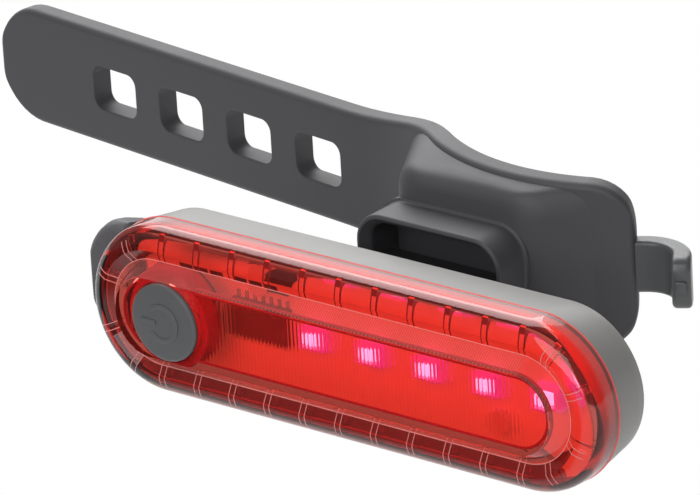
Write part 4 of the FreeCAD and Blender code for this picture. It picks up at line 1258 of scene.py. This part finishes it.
class BIKELIGHT_OT_stage(bpy.types.Operator):
    """Sets the camera, the floor and the soft light"""
    bl_idname = "bikelight.stage"
    bl_label = "Stage"

    def execute(self, context):
        stage = context.scene.bikelight_stage
        self.camera(context.scene, stage)
        self.floor(stage)
        self.lights(context.scene)
        context.scene.view_settings.view_transform = "Standard"
        return {"FINISHED"}

    @staticmethod
    def camera(scene, stage):
        a, e, r = stage.azimuth, stage.elevation, stage.roll
        back = Vector((math.sin(a) * math.cos(e), -math.cos(a) * math.cos(e), math.sin(e)))
        level = Vector((math.cos(a), math.sin(a), 0))
        upright = back.cross(level)
        right = level * math.cos(r) + upright * math.sin(r)
        up = upright * math.cos(r) - level * math.sin(r)
        across = (stage.aim_x - PICTURE_WIDTH / 2) * stage.distance / stage.focal_px
        above = -(stage.aim_y - PICTURE_HEIGHT / 2) * stage.distance / stage.focal_px
        place = LAMP + back * stage.distance - right * across - up * above
        data = bpy.data.cameras.new("photo_camera")
        data.sensor_width = SENSOR
        data.lens = stage.focal_px / PICTURE_WIDTH * SENSOR
        data.clip_start = 0.01
        data.clip_end = 20.0
        camera = bpy.data.objects.new("photo_camera", data)
        scene.collection.objects.link(camera)
        turned = Matrix((right, up, back)).transposed().to_4x4()
        camera.matrix_world = Matrix.Translation(place) @ turned
        scene.camera = camera

    @staticmethod
    def floor(stage):
        level = LAMP.z - stage.floor_drop
        side = 4.0
        mesh = mesh_from("floor", [(-side, -side, level), (side, -side, level), (side, side, level),
                                   (-side, side, level)], [(0, 1, 2, 3)])
        piece = new_piece("floor", mesh)
        mat, tree, place = material("pale_floor")
        warm = [1.0, 0.85, 0.8, 1]
        base = plastic(tree, tinted(tree, (0.86, 0.86, 0.86), noise(tree, place, 6.0), 0.01), 0.9)
        lift = node(tree, "ShaderNodeEmission", Color=[1, 1, 1, 1], Strength=1.0)
        dusk = node(tree, "ShaderNodeEmission", Color=warm, Strength=0.12)
        glance = node(tree, "ShaderNodeEmission", Color=warm, Strength=0.45)
        rays = node(tree, "ShaderNodeLightPath").outputs
        bright = maths(tree, "MAXIMUM",
                       ramp(tree, axis_of(tree, place, "Y"), LAMP.y - 115 * MM, LAMP.y - 60 * MM),
                       ramp(tree, axis_of(tree, place, "X"), LAMP.x - 20 * MM, LAMP.x + 30 * MM))
        pale = mixed(tree, rays["Is Camera Ray"], base, lift)
        shiny = mixed(tree, rays["Is Glossy Ray"], pale, mixed(tree, bright, dusk, lift))
        surface(tree, mixed(tree, rays["Is Transmission Ray"], shiny, glance))
        mesh.materials.append(mat)

    @staticmethod
    def lights(scene):
        world = bpy.data.worlds.new("studio")
        scene.world = world
        world.use_nodes = True
        tree = world.node_tree
        tree.nodes.clear()
        dim, plain = (node(tree, "ShaderNodeBackground", Color=[1, 1, 1, 1], Strength=strength)
                      for strength in (0.25, 1.0))
        camera_ray = node(tree, "ShaderNodeLightPath").outputs["Is Camera Ray"]
        surface(tree, mixed(tree, camera_ray, dim, plain), "ShaderNodeOutputWorld")
        for name, place, size, power in (
                ("top_softbox", (-0.40, 0.30, 0.66), 0.60, 5.2),
                ("back_softbox", (-0.52, 0.70, 0.36), 0.80, 4.0),
                ("front_fill", (0.10, -0.86, 0.44), 0.80, 5.9)):
            data = bpy.data.lights.new(name, "AREA")
            data.shape = "SQUARE"
            data.size = size
            data.energy = power
            lamp = bpy.data.objects.new(name, data)
            scene.collection.objects.link(lamp)
            spot = LAMP + Vector(place)
            aim = (LAMP - spot).to_track_quat("-Z", "Y").to_matrix().to_4x4()
            lamp.matrix_world = Matrix.Translation(spot) @ aim


class BIKELIGHT_PT_panel(bpy.types.Panel):
    """Lists the steps that dress the bike light"""
    bl_idname = "BIKELIGHT_PT_panel"
    bl_label = "Bike Light"
    bl_space_type = "VIEW_3D"
    bl_region_type = "UI"
    bl_category = "Bike Light"

    def draw(self, context):
        for operator in OPERATORS:
            self.layout.operator(operator.bl_idname)
        for key in GROUPS:
            group = getattr(context.scene, key)
            box = self.layout.box()
            for name in group.__annotations__:
                box.prop(group, name)


OPERATORS = (BIKELIGHT_OT_stage, BIKELIGHT_OT_shell, BIKELIGHT_OT_lens, BIKELIGHT_OT_button,
             BIKELIGHT_OT_insides, BIKELIGHT_OT_strap, BIKELIGHT_OT_socket, BIKELIGHT_OT_hook)
GROUPS = {"bikelight_lens": LensSizes, "bikelight_bracket": BracketSizes,
          "bikelight_finishes": Finishes, "bikelight_stage": StageSettings}
CLASSES = tuple(GROUPS.values()) + OPERATORS + (BIKELIGHT_PT_panel,)


def register():
    for cls in CLASSES:
        bpy.utils.register_class(cls)
    for name, cls in GROUPS.items():
        setattr(bpy.types.Scene, name, PointerProperty(type=cls))


def unregister():
    for name in GROUPS:
        delattr(bpy.types.Scene, name)
    for cls in reversed(CLASSES):
        bpy.utils.unregister_class(cls)


def main():
    register()
    for operator in OPERATORS:
        group, name = operator.bl_idname.split(".")
        getattr(getattr(bpy.ops, group), name)()


if __name__ == "__main__":
    main()
